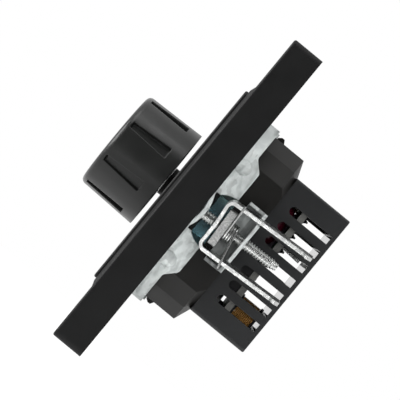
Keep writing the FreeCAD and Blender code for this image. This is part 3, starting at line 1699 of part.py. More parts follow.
def fuse_clip(end, inward, level):
    """Make one spring clip: a ring open behind, standing on a foot on the board."""
    thick = size("clip_thick")
    radius = size("fuse_radius") + size("fuse_fit")
    width = size("fuse_cap_length") - 2 * size("clip_inset")
    start = end + inward * size("clip_inset")
    ring = Part.makeCylinder(radius + thick, width, start, inward)
    ring = ring.cut(Part.makeCylinder(radius, width, start, inward))
    low = min(start.x, start.x + inward.x * width)
    gap = size("clip_mouth")
    corner = FreeCAD.Vector(low, end.y - gap / 2, level - 2 * radius - gap / 2)
    mouth = Part.makeBox(width, gap, 2 * radius, corner)
    board = -size("board_front") - size("board_thick")
    foot_height = board - (level + radius + thick / 2)
    sole = size("clip_foot")
    corner = FreeCAD.Vector(low, end.y - sole / 2, board - foot_height)
    foot = Part.makeBox(width, sole, foot_height, corner)
    return ring.cut(mouth).fuse(foot)


# Terminal block with its spring leaves and contact bars
def make_terminals():
    body = block(
        "terminal_block",
        "-block_half",
        "block_half",
        "block_bottom",
        "housing_half - housing_wall - block_gap",
        "-block_end",
        "-block_front",
    )
    top = "housing_half - housing_wall + overcut"
    bays = new_sketch(body, f"-({top})", "XZ_Plane")
    for column in ("-terminal_pitch", "terminal_pitch"):
        rectangle(
            bays,
            f"{column} - block_pocket / 2",
            f"{column} + block_pocket / 2",
            "-block_end + block_skin",
            "-block_front - block_skin",
        )
    pocket(body, bays, f"{top} - block_bottom - block_floor")
    finish(body, "terminal_block")

    for name in ("terminal_bars", "terminal_springs"):
        solids = []
        for column in (-1, 1):
            across = column * size("terminal_pitch")
            solids.append(contact_bar(across) if name == "terminal_bars" else spring_leaf(across))
        group = doc.addObject("Part::Feature", name)
        group.Shape = Part.makeCompound(solids)
        group.Placement = upright
        finish(group, name)


def contact_bar(across):
    """Make the flat bar that a wire is pressed against."""
    width = size("block_pocket") - 2 * size("bar_gap")
    low = size("block_bottom") + size("block_floor") + size("bar_seat")
    high = size("housing_half") - size("housing_wall") - size("block_skin")
    front = -size("block_front") - size("block_skin") - size("bar_seat")
    return Part.makeBox(
        width,
        high - low,
        size("bar_thick"),
        FreeCAD.Vector(across - width / 2, low, front - size("bar_thick")),
    )


def spring_leaf(across):
    """Make the bent leaf that presses a wire on its bar."""
    width = size("block_pocket") - 2 * size("leaf_gap")
    thick = size("spring_leaf_thick")
    low = size("block_bottom") + size("block_floor") + size("leaf_seat")
    high = size("housing_half") - size("housing_wall") - size("block_skin") - size("leaf_seat")
    rear = size("block_skin") + size("leaf_seat") / 2 - size("block_end")
    tip = (low + high) / 2 + size("leaf_bend")
    elbow = rear + size("leaf_root")
    nose = elbow + size("leaf_rise")
    path = [
        (high, rear),
        (low, rear),
        (low, elbow),
        (tip, nose),
        (tip, nose - thick),
        (low + thick, elbow - thick),
        (low + thick, rear + thick),
        (high, rear + thick),
    ]
    points = [FreeCAD.Vector(across - width / 2, up, level) for up, level in path]
    face = Part.Face(Part.makePolygon(points + points[:1]))
    return face.extrude(FreeCAD.Vector(width, 0, 0))


# Fasteners, each kind as one group of separate solids
def pan_screw(radius, length, head_radius, head_height, spot, way):
    """Make one pan-head screw with a cross recess; the shank runs against `way` from the seat."""
    up = FreeCAD.Vector(0, 0, way)
    shank = Part.makeCylinder(radius, length, spot, up * -1)
    head = Part.makeCylinder(head_radius, head_height, spot, up)
    top = spot + up * head_height
    long = head_radius * size("recess_reach")
    short = head_radius * size("recess_half_width")
    deep = size("recess_depth")
    for half_x, half_y in ((long, short), (short, long)):
        corner = top - FreeCAD.Vector(half_x, half_y, deep)
        head = head.cut(Part.makeBox(2 * half_x, 2 * half_y, 2 * deep, corner))
    return shank.fuse(head)


def make_fasteners():
    housing = []
    for across in (-1, 1):
        for up in (-1, 1):
            spot = FreeCAD.Vector(
                across * size("post_offset"), up * size("post_offset"), size("frame_thick")
            )
            housing.append(
                pan_screw(
                    size("housing_screw_radius"),
                    size("housing_screw_length"),
                    size("housing_screw_head_radius"),
                    size("housing_screw_head"),
                    spot,
                    1,
                )
            )
    case = []
    for sign in (1, -1):
        spot = FreeCAD.Vector(
            sign * size("case_post_x"),
            sign * size("case_post_y"),
            -size("case_end") + size("case_screw_head"),
        )
        case.append(
            pan_screw(
                size("case_screw_radius") - size("thread_fit"),
                size("case_end") - size("case_screw_head") - size("housing_depth") - 2 * size("root"),
                size("case_screw_head_radius"),
                size("case_screw_head") - size("case_screw_clearance"),
                spot,
                -1,
            )
        )
    for name, solids in (("housing_screws", housing), ("case_screws", case)):
        group = doc.addObject("Part::Feature", name)
        group.Shape = Part.makeCompound(solids)
        group.Placement = upright
        finish(group, name)


def make_control_leads():
    """Make the three stiff wires from the control's lugs down to the board."""
    lug_level = -size("bushing_shoulder") - size("track_drop") - size("lug_drop")
    length = lug_level + size("board_front")
    solids = []
    for row in (-1, 0, 1):
        foot = FreeCAD.Vector(
            size("lug_lead_inset") - size("lug_reach"),
            row * size("lug_spacing"),
            -size("board_front"),
        )
        solids.append(Part.makeCylinder(size("lead_radius"), length, foot, FreeCAD.Vector(0, 0, 1)))
    group = doc.addObject("Part::Feature", "control_leads")
    group.Shape = Part.makeCompound(solids)
    group.Placement = upright
    finish(group, "control_leads")


make_frame_plate()
make_cover_plate()
make_knob()
make_control()
make_mounting_frame()
make_upper_housing()
make_rear_case()
make_board()
make_power_parts()
make_capacitors()
make_resistors()
make_choke()
make_fuse()
make_terminals()
make_fasteners()
make_control_leads()
for side in ("right", "left"):
    make_claw_screw(side)
    make_claw_nut(side)
    make_claw(side)
    make_claw_spring(side)
    make_claw_disc(side)

doc.recompute()
for item in doc.Objects:
    if "Invalid" in item.State or "Error" in item.State:
        raise RuntimeError(f"{item.Name} failed: {item.State}")
for piece in pieces:
    if piece.Shape.isNull() or not piece.Shape.isValid():
        raise RuntimeError(f"{piece.Label} has no valid shape")

os.makedirs("parts", exist_ok=True)
for piece in pieces:
    piece.Shape.exportStep(f"parts/{piece.Label}.step")
    print(piece.Label, len(piece.Shape.Solids), round(piece.Shape.Volume, 2))
print("pieces", len(pieces))
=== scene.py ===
"""Dress the fan speed control switch: plastics, plated steel, threads, windings, light and camera.

Lengths are in metres in the frame of the packed model: -Y is the front with the knob, +Y goes
into the wall box and +Z is up.
"""
import json
import math

import bpy
from bpy.props import FloatProperty, FloatVectorProperty, IntProperty, PointerProperty
from mathutils import Matrix, Vector


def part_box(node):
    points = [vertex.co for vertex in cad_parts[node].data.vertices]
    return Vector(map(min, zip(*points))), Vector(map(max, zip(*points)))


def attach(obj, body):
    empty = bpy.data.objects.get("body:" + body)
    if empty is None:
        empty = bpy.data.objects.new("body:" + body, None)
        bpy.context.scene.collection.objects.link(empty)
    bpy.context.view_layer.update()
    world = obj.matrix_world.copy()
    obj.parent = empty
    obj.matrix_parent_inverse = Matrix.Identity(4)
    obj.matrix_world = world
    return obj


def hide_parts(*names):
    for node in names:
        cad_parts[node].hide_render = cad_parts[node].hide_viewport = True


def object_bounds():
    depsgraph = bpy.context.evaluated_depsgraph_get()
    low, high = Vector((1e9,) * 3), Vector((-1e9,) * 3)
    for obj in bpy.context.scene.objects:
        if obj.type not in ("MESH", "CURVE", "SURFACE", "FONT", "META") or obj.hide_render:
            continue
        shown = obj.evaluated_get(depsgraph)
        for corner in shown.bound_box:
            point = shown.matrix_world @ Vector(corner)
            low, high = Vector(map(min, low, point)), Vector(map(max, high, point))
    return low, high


bl_info = {
    "name": "Fan Speed Switch",
    "version": (1, 0, 0),
    "blender": (4, 5, 0),
    "location": "View3D > Sidebar > Fan Switch",
    "description": "Finishes the pieces of a fan speed control switch and sets its stage",
    "category": "Object",
}

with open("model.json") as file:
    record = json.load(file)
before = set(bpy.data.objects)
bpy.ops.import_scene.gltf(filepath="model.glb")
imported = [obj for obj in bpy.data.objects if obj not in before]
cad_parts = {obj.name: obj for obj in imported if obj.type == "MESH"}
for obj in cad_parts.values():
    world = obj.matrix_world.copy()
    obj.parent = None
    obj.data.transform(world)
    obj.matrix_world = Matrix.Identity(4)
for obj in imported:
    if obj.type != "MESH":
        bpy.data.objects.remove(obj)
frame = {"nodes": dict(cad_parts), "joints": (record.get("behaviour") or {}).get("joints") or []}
NODES = frame["nodes"]
JOINTS = {joint["name"]: joint for joint in frame["joints"]}
CAD_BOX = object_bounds()
SIDES = ("right", "left")
MM = 0.001

# Fine sparked grain of the black plastics
GRAIN = 0.25 * MM
GRAIN_DEPTH = 0.006 * MM

# Reach of the mounting frame's tongues and folds behind the wall plane, of the tabs beside the
# tongues, of the tongues' lower part and of the darker ends, from the middle; painted shade
# darkens the folds, the tongues beside the tabs and the tongues, deeper on their lower part
TONGUE_REACH = (7.9 * MM, 12.0 * MM)
FOLD_REACH = (10.4 * MM, 12.0 * MM)
TAB_REACH = (6.2 * MM, 7.8 * MM)
LOWER_REACH = (-3.0 * MM, -1.0 * MM)
END_REACH = (16.0 * MM, 23.0 * MM)

# Rings of the knob's skin: turns over the crown in degrees, steps behind the crown and round the
# grooves' rear end in mm, and shares of the knob's length
CROWN_TURNS = range(10, 90, 8)
CROWN_STEPS = (0.0, 0.1, 0.2, 0.3, 0.45, 0.6, 0.75, 0.9, 1.2)
BODY_SHARES = (0.25, 0.4, 0.55, 0.7)
GROOVE_END_STEPS = (-0.2, -0.06, 0.0, 0.15)
REAR_SHARES = (0.9, 1.0)

# Points of each ring, as shares of a groove's half width and of half the land beside it
GROOVE_SHARES = (0.0, 0.35, 0.7, 0.93)
LAND_SHARES = (0.0, 0.04, 0.2, 0.45, 0.7)

# Claw screw: gap of its head to the wall plane, and depth of its joint behind that plane
HEAD_SEAT = 0.45 * MM
JOINT_DEPTH = 4.0 * MM

# Solder joints behind the board, across and up from its middle, and the radius and height of the
# rings of one joint and its pin, all in mm
SLOT_JOINTS = ((15.6, 13.2), (14.0, 8.6), (15.8, 4.3), (12.2, 9.9))
TRIAC_JOINTS = ((12.8, -2.4), (10.3, -2.4), (15.3, -2.4))
RESISTOR_JOINTS = tuple((across, up) for across in (-14.9, -11.5, -8.1) for up in (7.2, 15.0))
SUPPRESSOR_JOINTS = ((1.6, 3.1), (1.6, 11.1))
DIAC_JOINTS = ((-4.8, 8.4), (-4.8, 14.0))
CONTROL_JOINTS = ((-12.5, 5.0), (-12.5, 0.0), (-12.5, -5.0))
SOLDER_CONE = ((1.05, 0.0), (0.95, 0.12), (0.62, 0.38), (0.38, 0.75))
SOLDER_PIN = ((0.30, 0.95), (0.28, 1.15), (0.2, 1.2))

# Rings of the choke's inner tube: share of the outer radius, and whether at the rear end
CHOKE_TUBE = ((0.6, False), (1.0, False), (1.0, True), (0.6, True), (0.6, False))

# Stage: where along X the tent's wall gives way to its open side, how bright the floor looks, how
# far to the side its mirror image fades out, and where the camera aims along Y and Z
TENT_EDGE = (-0.05, 0.68)
FLOOR_GLOW = 0.8
GLOW_FADE = 0.4
CAMERA_AIM = (-1.56 * MM, 1.42 * MM)


# Sizes and colours that a user would change
def colour_of(name, description, default):
    """Describe one surface colour."""
    return FloatVectorProperty(
        name=name,
        description=description,
        default=default,
        subtype="COLOR",
        size=3,
        min=0.0,
        max=1.0,
    )


def length_of(name, description, default):
    """Describe one length."""
    return FloatProperty(
        name=name, description=description, default=default, unit="LENGTH", min=0.0, precision=5
    )


class SwitchPlastics(bpy.types.PropertyGroup):
    """Colours of the moulded pieces."""

    plate: colour_of("Frame plate", "Satin black of the square plate", (0.0046, 0.0047, 0.0048))
    cover: colour_of("Cover plate", "Satin black of the inner cover", (0.0055, 0.0055, 0.0056))
    knob: colour_of("Knob", "Dark grey of the knob", (0.0095, 0.0102, 0.0096))
    housing: colour_of("Upper housing", "Brown-black of the housing", (0.0062, 0.0058, 0.0051))
    case: colour_of("Rear case", "Black of the slotted case", (0.0145, 0.0152, 0.0160))
    terminals: colour_of("Terminal block", "Grey of the terminal block", (0.52, 0.52, 0.50))
    disc: colour_of("Insulating disc", "Blue of the thin discs", (0.30, 0.62, 0.72))
    edge_round: length_of("Edge rounding", "Rounding of the moulded edges", 0.00028)


class SwitchMetals(bpy.types.PropertyGroup):
    """Colours and wear of the metal pieces."""

    zinc: colour_of("Zinc", "Dull plating of the mounting frame", (0.77, 0.81, 0.80))
    steel: colour_of("Bright steel", "Plated claws and screws", (0.80, 0.81, 0.80))
    brass: colour_of("Brass", "Bushing, bars and wiper", (0.66, 0.47, 0.20))
    copper: colour_of("Copper wire", "Lacquered winding wire", (0.58, 0.31, 0.09))
    aluminium: colour_of("Aluminium", "Sheet of the heat sink", (0.66, 0.67, 0.68))
    edge_round: length_of("Edge rounding", "Rounding of the pressed edges", 0.00014)


class SwitchKnob(bpy.types.PropertyGroup):
    """Sizes of the knob's outer skin."""

    proud: length_of("Skin", "Height of the skin over the knob's body", 0.00006)
    crown: length_of("Crown", "Rounding of the front edge", 0.0013)
    line: length_of("Crown line", "Distance from the front to the line round the crown", 0.00098)
    groove_start: length_of("Groove start", "Distance from the front to the grooves", 0.00150)
    groove_end: length_of("Groove end", "Distance from the front to the grooves' end", 0.0125)
    groove_width: length_of("Groove width", "Width of a groove", 0.0029)
    groove_depth: length_of("Groove depth", "Depth of a groove below the front radius", 0.0009)
    front_radius: length_of("Front radius", "Radius at the front", 0.01305)
    rear_radius: length_of("Rear radius", "Radius at the rear", 0.0135)
    groove_taper: FloatProperty(
        name="Groove taper",
        description="Width at the front as a share of the groove's width",
        default=0.55,
        min=0.1,
        max=1.0,
    )
    grooves: IntProperty(name="Grooves", description="Number of grooves", default=8, min=1, max=24)


class SwitchScrews(bpy.types.PropertyGroup):
    """Sizes of the claw screws."""

    radius: length_of("Thread radius", "Outer radius of the thread", 0.00145)
    pitch: length_of("Pitch", "Distance between turns of the thread", 0.0007)
    depth: length_of("Thread depth", "Depth of the thread's groove", 0.00030)
    length: length_of("Length", "Length of the screw below its head", 0.0220)
    taper: length_of("Point", "Length of the pointed end", 0.0020)
    head_radius: length_of("Head radius", "Radius of the pan head", 0.0029)
    head_height: length_of("Head height", "Height of the pan head", 0.0017)


class SwitchSprings(bpy.types.PropertyGroup):
    """Sizes of the claw springs."""

    wire: length_of("Wire radius", "Radius of the spring wire", 0.00028)
    coil: length_of("Coil radius", "Radius of the coils", 0.00235)
    pitch: length_of("Pitch", "Distance between two coils", 0.00060)
    turns: IntProperty(name="Coils", description="Number of coils", default=3, min=1, max=8)


class SwitchWinding(bpy.types.PropertyGroup):
    """Sizes of the choke's winding."""

    wire: length_of("Wire radius", "Radius of the lacquered wire", 0.00022)
    rows: IntProperty(
        name="Turns", description="Turns in the outer layer", default=11, min=2, max=20
    )


class SwitchStage(bpy.types.PropertyGroup):
    """Camera, floor and light."""

    camera_distance: length_of("Camera distance", "From the plate's near edge to the lens", 0.600)
    lens: FloatProperty(
        name="Lens",
        description="Focal length of the camera",
        default=240.5,
        unit="CAMERA",
        min=1.0,
    )
    roll: FloatProperty(
        name="Roll",
        description="Turn of the camera round its own axis",
        default=math.radians(39.5),
        subtype="ANGLE",
    )
    floor_drop: length_of("Floor drop", "Height of the switch's middle over the floor", 0.220)
    tent: FloatProperty(
        name="Tent",
        description="Strength of the light from the tent's walls",
        default=0.95,
        min=0.0,
    )
    open_side: FloatProperty(
        name="Open side",
        description="Brightness that shiny faces mirror from the open side of the tent",
        default=0.10,
        min=0.0,
        max=1.0,
    )


GROUPS = {
    "switch_plastics": SwitchPlastics,
    "switch_metals": SwitchMetals,
    "switch_knob": SwitchKnob,
    "switch_screws": SwitchScrews,
    "switch_springs": SwitchSprings,
    "switch_winding": SwitchWinding,
    "switch_stage": SwitchStage,
}


# Material nodes
def set_ramp(node, low, high, first, last):
    """Set the two ends of a Map Range node."""
    ends = {"From Min": low, "From Max": high, "To Min": first, "To Max": last}
    for key, value in ends.items():
        node.inputs[key].default_value = value


class Finish:
    """One procedural material, built node by node round a principled shader."""

    def __init__(
        self, name, roughness, metallic=0.0, specular=0.5, coat=0.0, transmission=0.0, ior=1.5
    ):
        self.material = bpy.data.materials.new(name)
        self.material.use_nodes = True
        self.tree = self.material.node_tree
        self.shader = self.tree.nodes["Principled BSDF"]
        self.shader.inputs["Roughness"].default_value = roughness
        self.shader.inputs["Metallic"].default_value = metallic
        self.shader.inputs["Specular IOR Level"].default_value = specular
        self.shader.inputs["Coat Weight"].default_value = coat
        self.shader.inputs["Transmission Weight"].default_value = transmission
        self.shader.inputs["IOR"].default_value = ior
        self.coords = self.add("ShaderNodeTexCoord").outputs["Object"]
        self.relief = None

    def add(self, kind, **settings):
        """Add a node and set its own properties."""
        node = self.tree.nodes.new(kind)
        for key, value in settings.items():
            setattr(node, key, value)
        return node

    def join(self, output, target):
        """Link an output to an input."""
        self.tree.links.new(output, target)

    def stretched(self, stretch):
        """Return the object's coordinates scaled along each axis."""
        mapping = self.add("ShaderNodeMapping")
        mapping.inputs["Scale"].default_value = stretch
        self.join(self.coords, mapping.inputs["Vector"])
        return mapping.outputs["Vector"]

    def noise(self, size, detail=2.0, stretch=None, rough=0.5):
        """Return cloudy noise whose clouds are about `size` metres across."""
        node = self.add("ShaderNodeTexNoise")
        node.inputs["Scale"].default_value = 1.0 / size
        node.inputs["Detail"].default_value = detail
        node.inputs["Roughness"].default_value = rough
        self.join(self.stretched(stretch) if stretch else self.coords, node.inputs["Vector"])
        return node.outputs["Fac"]

    def cells(self, size):
        """Return a tone for each of the cells, which are about `size` metres across."""
        node = self.add("ShaderNodeTexVoronoi", feature="F1")
        node.inputs["Scale"].default_value = 1.0 / size
        self.join(self.coords, node.inputs["Vector"])
        return node.outputs["Color"]

    def axis(self, output, name):
        """Return one axis of a vector output."""
        node = self.add("ShaderNodeSeparateXYZ")
        self.join(output, node.inputs["Vector"])
        return node.outputs[name]

    def facing(self):
        """Return how far a face looks along Y: -1 to the front, 1 to the rear."""
        return self.axis(self.add("ShaderNodeNewGeometry").outputs["Normal"], "Y")

    def ramp(self, factor, low, high, first=0.0, last=1.0):
        """Remap a factor between two values."""
        node = self.add("ShaderNodeMapRange")
        set_ramp(node, low, high, first, last)
        self.join(factor, node.inputs["Value"])
        return node.outputs["Result"]

    def unsigned(self, output):
        """Return an output without its sign."""
        node = self.add("ShaderNodeMath", operation="ABSOLUTE")
        self.join(output, node.inputs[0])
        return node.outputs["Value"]

    def product(self, first, second):
        """Multiply two outputs."""
        node = self.add("ShaderNodeMath", operation="MULTIPLY")
        self.join(first, node.inputs[0])
        self.join(second, node.inputs[1])
        return node.outputs["Value"]

    def inside(self, output, start, end, blur):
        """Return 1 where an output lies between two values, and 0 elsewhere."""
        rise = self.ramp(output, start - blur, start)
        fall = self.ramp(output, end, end + blur, 1.0, 0.0)
        return self.product(rise, fall)

    def mix(self, factor, first, second):
        """Mix two colours or colour outputs."""
        node = self.add("ShaderNodeMix", data_type="RGBA")
        self.join(factor, node.inputs["Factor"])
        for socket, value in ((node.inputs["A"], first), (node.inputs["B"], second)):
            if isinstance(value, bpy.types.NodeSocket):
                self.join(value, socket)
            else:
                socket.default_value = (*value, 1.0)
        return node.outputs["Result"]

    def colour(self, output):
        """Give the shader its colour."""
        self.join(output, self.shader.inputs["Base Color"])
        return self

    def roughness(self, factor, first, last, low=0.3, high=0.7):
        """Vary the shader's roughness with a factor."""
        self.join(self.ramp(factor, low, high, first, last), self.shader.inputs["Roughness"])
        return self

    def rounded(self, radius):
        """Let the light run round the edges within `radius` metres."""
        node = self.add("ShaderNodeBevel", samples=6)
        node.inputs["Radius"].default_value = radius
        self.relief = node.outputs["Normal"]
        self.join(self.relief, self.shader.inputs["Normal"])
        return self

    def bump(self, factor, depth, strength=1.0):
        """Raise the surface by up to `depth` metres; later calls lie on earlier ones."""
        node = self.add("ShaderNodeBump")
        node.inputs["Strength"].default_value = strength
        node.inputs["Distance"].default_value = depth
        self.join(factor, node.inputs["Height"])
        if self.relief is not None:
            self.join(self.relief, node.inputs["Normal"])
        self.relief = node.outputs["Normal"]
        self.join(self.relief, self.shader.inputs["Normal"])
        return self


def tint(colour, amount):
    """Scale a colour, kept between black and white."""
    return tuple(min(1.0, channel * amount) for channel in colour)


def moulded(name, colour, roughness=0.42, depth=GRAIN_DEPTH, specular=0.25, edge=0.15 * MM):
    """Satin moulded plastic: fine sparked grain, faint flow clouds and rubbed patches."""
    finish = Finish(name, roughness, specular=specular).rounded(edge)
    clouds = finish.ramp(finish.noise(12.0 * MM, 3.0), 0.3, 0.7)
    finish.colour(finish.mix(clouds, tint(colour, 0.86), tint(colour, 1.16)))
    finish.roughness(finish.noise(6.0 * MM, 4.0), roughness - 0.05, roughness + 0.05)
    finish.bump(finish.noise(GRAIN, 3.0), depth, 0.5)
    return finish.material


def cored(name, colour, roughness=0.42, specular=0.4, edge=0.15 * MM):
    """Satin case plastic whose inner faces, left by the mould's core, are polished."""
    finish = Finish(name, roughness, specular=specular).rounded(edge)
    clouds = finish.ramp(finish.noise(12.0 * MM, 3.0), 0.3, 0.7)
    finish.colour(finish.mix(clouds, tint(colour, 0.9), tint(colour, 1.12)))
    finish.roughness(finish.facing(), 0.10, roughness, -0.6, -0.3)
    finish.bump(finish.noise(GRAIN, 3.0), GRAIN_DEPTH, 0.4)
    return finish.material


def zinc_plated(name, colour, roughness=0.44, edge=0.14 * MM):
    """Dull zinc on pressed steel: crystal flakes, cloudy dirt, dents, darker ends, and painted
    shade in crease-shaped patches of the dents' hollows and on the tongues.
    """
    finish = Finish(name, roughness, metallic=0.25).rounded(edge)
    flakes = finish.ramp(finish.cells(0.9 * MM), 0.0, 1.0)
    clouds = finish.ramp(finish.noise(4.0 * MM, 4.0, rough=0.6), 0.35, 0.7)
    base = finish.mix(flakes, tint(colour, 0.93), tint(colour, 1.06))
    base = finish.mix(clouds, base, tint(colour, 0.80))
    dents = finish.noise(4.5 * MM, 1.5, stretch=(1.0, 1.6, 1.0))
    # Painted shade: patches in the dents' hollows, picked out by the crease noise, are darkened
    creases = finish.ramp(finish.noise(3.0 * MM, 2.0, stretch=(1.0, 1.3, 1.0)), 0.47, 0.50)
    dent_shade = finish.product(creases, finish.ramp(dents, 0.40, 0.60, 0.45, 0.0))
    base = finish.mix(dent_shade, base, tint(colour, 0.42))
    depth = finish.axis(finish.coords, "Y")
    height = finish.axis(finish.coords, "Z")
    away = finish.unsigned(height)
    tongue = finish.inside(depth, *TONGUE_REACH, 0.1 * MM)
    # Painted shade on the folds behind the tongues
    fold_shade = finish.inside(depth, *FOLD_REACH, 0.3 * MM)
    # Painted shade on the tongues beside the tabs
    beside = finish.product(tongue, finish.inside(away, *TAB_REACH, 0.15 * MM))
    # Painted shade over the tongues, deeper on their lower part
    low = finish.product(tongue, finish.ramp(height, *LOWER_REACH, 0.75, 0.25))
    base = finish.mix(low, base, tint(colour, 0.12))
    # Darker towards both ends
    base = finish.mix(finish.ramp(away, *END_REACH, 0.0, 0.45), base, tint(colour, 0.42))
    base = finish.mix(finish.ramp(beside, 0.0, 1.0, 0.0, 0.8), base, tint(colour, 0.10))
    finish.colour(finish.mix(finish.ramp(fold_shade, 0.0, 1.0, 0.0, 0.6), base, tint(colour, 0.14)))
    finish.roughness(finish.noise(1.6 * MM, 3.0), roughness - 0.12, roughness + 0.12)
    finish.bump(dents, 2.4 * MM, 0.8)
    finish.bump(finish.noise(0.4 * MM, 3.0), 0.012 * MM, 0.5)
    return finish.material


def bright_plated(name, colour, roughness=0.24, edge=0.14 * MM, grain=0.010 * MM):
    """Bright plated metal with drawing lines, small pits and duller patches."""
    finish = Finish(name, roughness, metallic=1.0)
    if edge > 0.0:
        finish.rounded(edge)
    patches = finish.ramp(finish.noise(3.0 * MM, 3.0), 0.35, 0.65)
    finish.colour(finish.mix(patches, colour, tint(colour, 0.80)))
    finish.roughness(finish.noise(0.9 * MM, 4.0), roughness - 0.06, roughness + 0.14)
    finish.bump(finish.noise(0.5 * MM, 2.0, stretch=(3.0, 0.35, 3.0)), grain, 0.6)
    return finish.material


def tumbled(name, colour, roughness=0.42, edge=0.14 * MM):
    """Coarse tumbled metal, such as the nut plate's pitted faces."""
    finish = Finish(name, roughness, metallic=0.9).rounded(edge)
    pits = finish.noise(0.45 * MM, 3.0, rough=0.7)
    finish.colour(finish.mix(finish.ramp(pits, 0.35, 0.65), tint(colour, 0.55), colour))
    finish.roughness(finish.noise(0.6 * MM), roughness - 0.12, roughness + 0.12)
    finish.bump(pits, 0.10 * MM, 0.8)
    return finish.material


def lacquered(name, colour, roughness=0.16, metallic=0.0):
    """Dipped or lacquered skin with a slow ripple."""
    finish = Finish(name, roughness, metallic=metallic, coat=0.6)
    clouds = finish.ramp(finish.noise(2.2 * MM, 2.0), 0.3, 0.7)
    finish.colour(finish.mix(clouds, tint(colour, 0.75), tint(colour, 1.2)))
    finish.roughness(finish.noise(1.0 * MM, 2.0), roughness - 0.04, roughness + 0.08)
    finish.bump(finish.noise(1.4 * MM, 1.0), 0.06 * MM, 0.5)
    return finish.material


def clear_film(name, colour, roughness, ior=1.45, tints=()):
    """Thin tinted plastic or glass with dust, and tints that deepen from one height to another,
    used as painted shade and painted light of what lies behind.
    """
    finish = Finish(name, roughness, transmission=0.95, ior=ior)
    dust = finish.ramp(finish.noise(4.0 * MM, 2.0), 0.40, 0.65)
    shade = finish.mix(dust, colour, tint(colour, 0.72))
    for low, high, deep in tints:
        height = finish.axis(finish.coords, "Z")
        shade = finish.mix(finish.ramp(height, low, high, 0.0, 0.85), shade, deep)
    finish.colour(shade)
    finish.roughness(finish.noise(3.0 * MM, 2.0), roughness - 0.04, roughness + 0.06)
    finish.bump(finish.noise(4.0 * MM, 1.0), 0.02 * MM, 0.3)
    return finish.material


def fibre_board(name):
    """Circuit board: dark solder mask on its faces, pale glass fibre layers on its cut edges."""
    finish = Finish(name, 0.45, specular=0.4)
    on_face = finish.ramp(finish.unsigned(finish.facing()), 0.4, 0.6)
    layers = finish.noise(0.6 * MM, 3.0, stretch=(0.5, 4.0, 0.5), rough=0.6)
    edge = finish.mix(layers, (0.07, 0.07, 0.065), (0.20, 0.20, 0.19))
    mask = finish.mix(finish.noise(4.0 * MM), (0.008, 0.07, 0.025), (0.02, 0.12, 0.05))
    finish.colour(finish.mix(on_face, edge, mask))
    finish.roughness(layers, 0.35, 0.7)
    finish.bump(layers, 0.05 * MM, 0.6)
    return finish.material


def banded(name, body, bands, blur=0.1 * MM):
    """Lacquered body with colour rings, each given by its height, half its width and its colour."""
    finish = Finish(name, 0.28, coat=0.3)
    height = finish.axis(finish.coords, "Z")
    shade = finish.mix(finish.noise(2.0 * MM), tint(body, 0.85), tint(body, 1.1))
    for centre, half, colour in bands:
        away = finish.add("ShaderNodeMath", operation="SUBTRACT")
        finish.join(height, away.inputs[0])
        away.inputs[1].default_value = centre
        on_band = finish.ramp(finish.unsigned(away.outputs["Value"]), half, half + blur, 1.0, 0.0)
        shade = finish.mix(on_band, shade, colour)
    finish.colour(shade)
    finish.bump(finish.noise(0.9 * MM), 0.03 * MM, 0.5)
    return finish.material


# Shaping helpers
def dress(material, *names):
    """Give CAD nodes a material."""
    for name in names:
        slots = NODES[name].material_slots
        if not slots:
            NODES[name].data.materials.append(material)
        for slot in NODES[name].material_slots:
            slot.material = material


def new_piece(name, mesh, material, body, replaced=()):
    """Put a mesh or curve in the scene with its material, tie it to its body and hide the nodes it
    replaces.
    """
    piece = bpy.data.objects.new(name, mesh)
    bpy.context.scene.collection.objects.link(piece)
    mesh.materials.append(material)
    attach(piece, body)
    if replaced:
        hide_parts(*replaced)
    return piece


def mesh_from(name, points, faces, matrix=None, smooth=True):
    """Make a mesh from points and faces, moved by a matrix."""
    mesh = bpy.data.meshes.new(name)
    mesh.from_pydata([tuple(point) for point in points], [], faces)
    if matrix is not None:
        mesh.transform(matrix)
    mesh.validate()
    mesh.polygons.foreach_set("use_smooth", [smooth] * len(mesh.polygons))
    mesh.update()
    return mesh


def skin(rings, closed_ends=True):
    """Join rings of equal length into one tube and cap its ends."""
    count = len(rings[0])
    points = [point for ring in rings for point in ring]
    faces = []
    for row in range(len(rings) - 1):
        for step in range(count):
            here = row * count + step
            beside = row * count + (step + 1) % count
            faces.append((here, beside, beside + count, here + count))
    if closed_ends:
        last = (len(rings) - 1) * count
        faces.append(tuple(reversed(range(count))))
        faces.append(tuple(range(last, last + count)))
    return points, faces


def ring_at(x, level, z, radius, around):
    """List the points of a ring that lies square to Y."""
    turns = [2 * math.pi * step / around for step in range(around)]
    return [(x + radius * math.cos(turn), level, z + radius * math.sin(turn)) for turn in turns]


def wire_curve(name, points, radius, resolution, matrix=None):
    """Lay a round wire along a smooth open line."""
    curve = bpy.data.curves.new(name, "CURVE")
    curve.dimensions = "3D"
    curve.bevel_depth = radius
    curve.bevel_resolution = 3
    curve.use_fill_caps = True
    curve.resolution_u = resolution
    spline = curve.splines.new("NURBS")
    spline.points.add(len(points) - 1)
    for knot, point in zip(spline.points, points):
        place = matrix @ Vector(point) if matrix is not None else Vector(point)
        knot.co = (*place, 1.0)
    spline.order_u = 3
    spline.use_endpoint_u = True
    return curve


def screw_place(side):
    """Return the claw screw's own frame: z runs out of the wall along the screw."""
    joint = JOINTS[f"screw_turn_{side}"]
    swing = JOINTS[f"claw_swing_{side}"]
    out = -Vector(joint["axis"]).normalized()
    up = -Vector(swing["axis"]).normalized()
    across = up.cross(out).normalized()
    matrix = Matrix((across, up, out)).transposed().to_4x4()
    matrix.translation = Vector(joint["pos_m"]) + out * JOINT_DEPTH
    return matrix


# Plates and knob
class SWITCH_OT_mould_plates(bpy.types.Operator):
    """Give the frame plate and the cover plate their satin black plastic"""

    bl_idname = "switch.mould_plates"
    bl_label = "Mould plates"

    def execute(self, context):
        plastics = context.scene.switch_plastics
        edge = plastics.edge_round
        plate = moulded("satin_black_plate", plastics.plate, 0.50, specular=0.24, edge=edge)
        cover = moulded("satin_black_cover", plastics.cover, 0.46, specular=0.3, edge=edge)
        dress(plate, "frame_plate")
        dress(cover, "cover_plate")
        return {"FINISHED"}


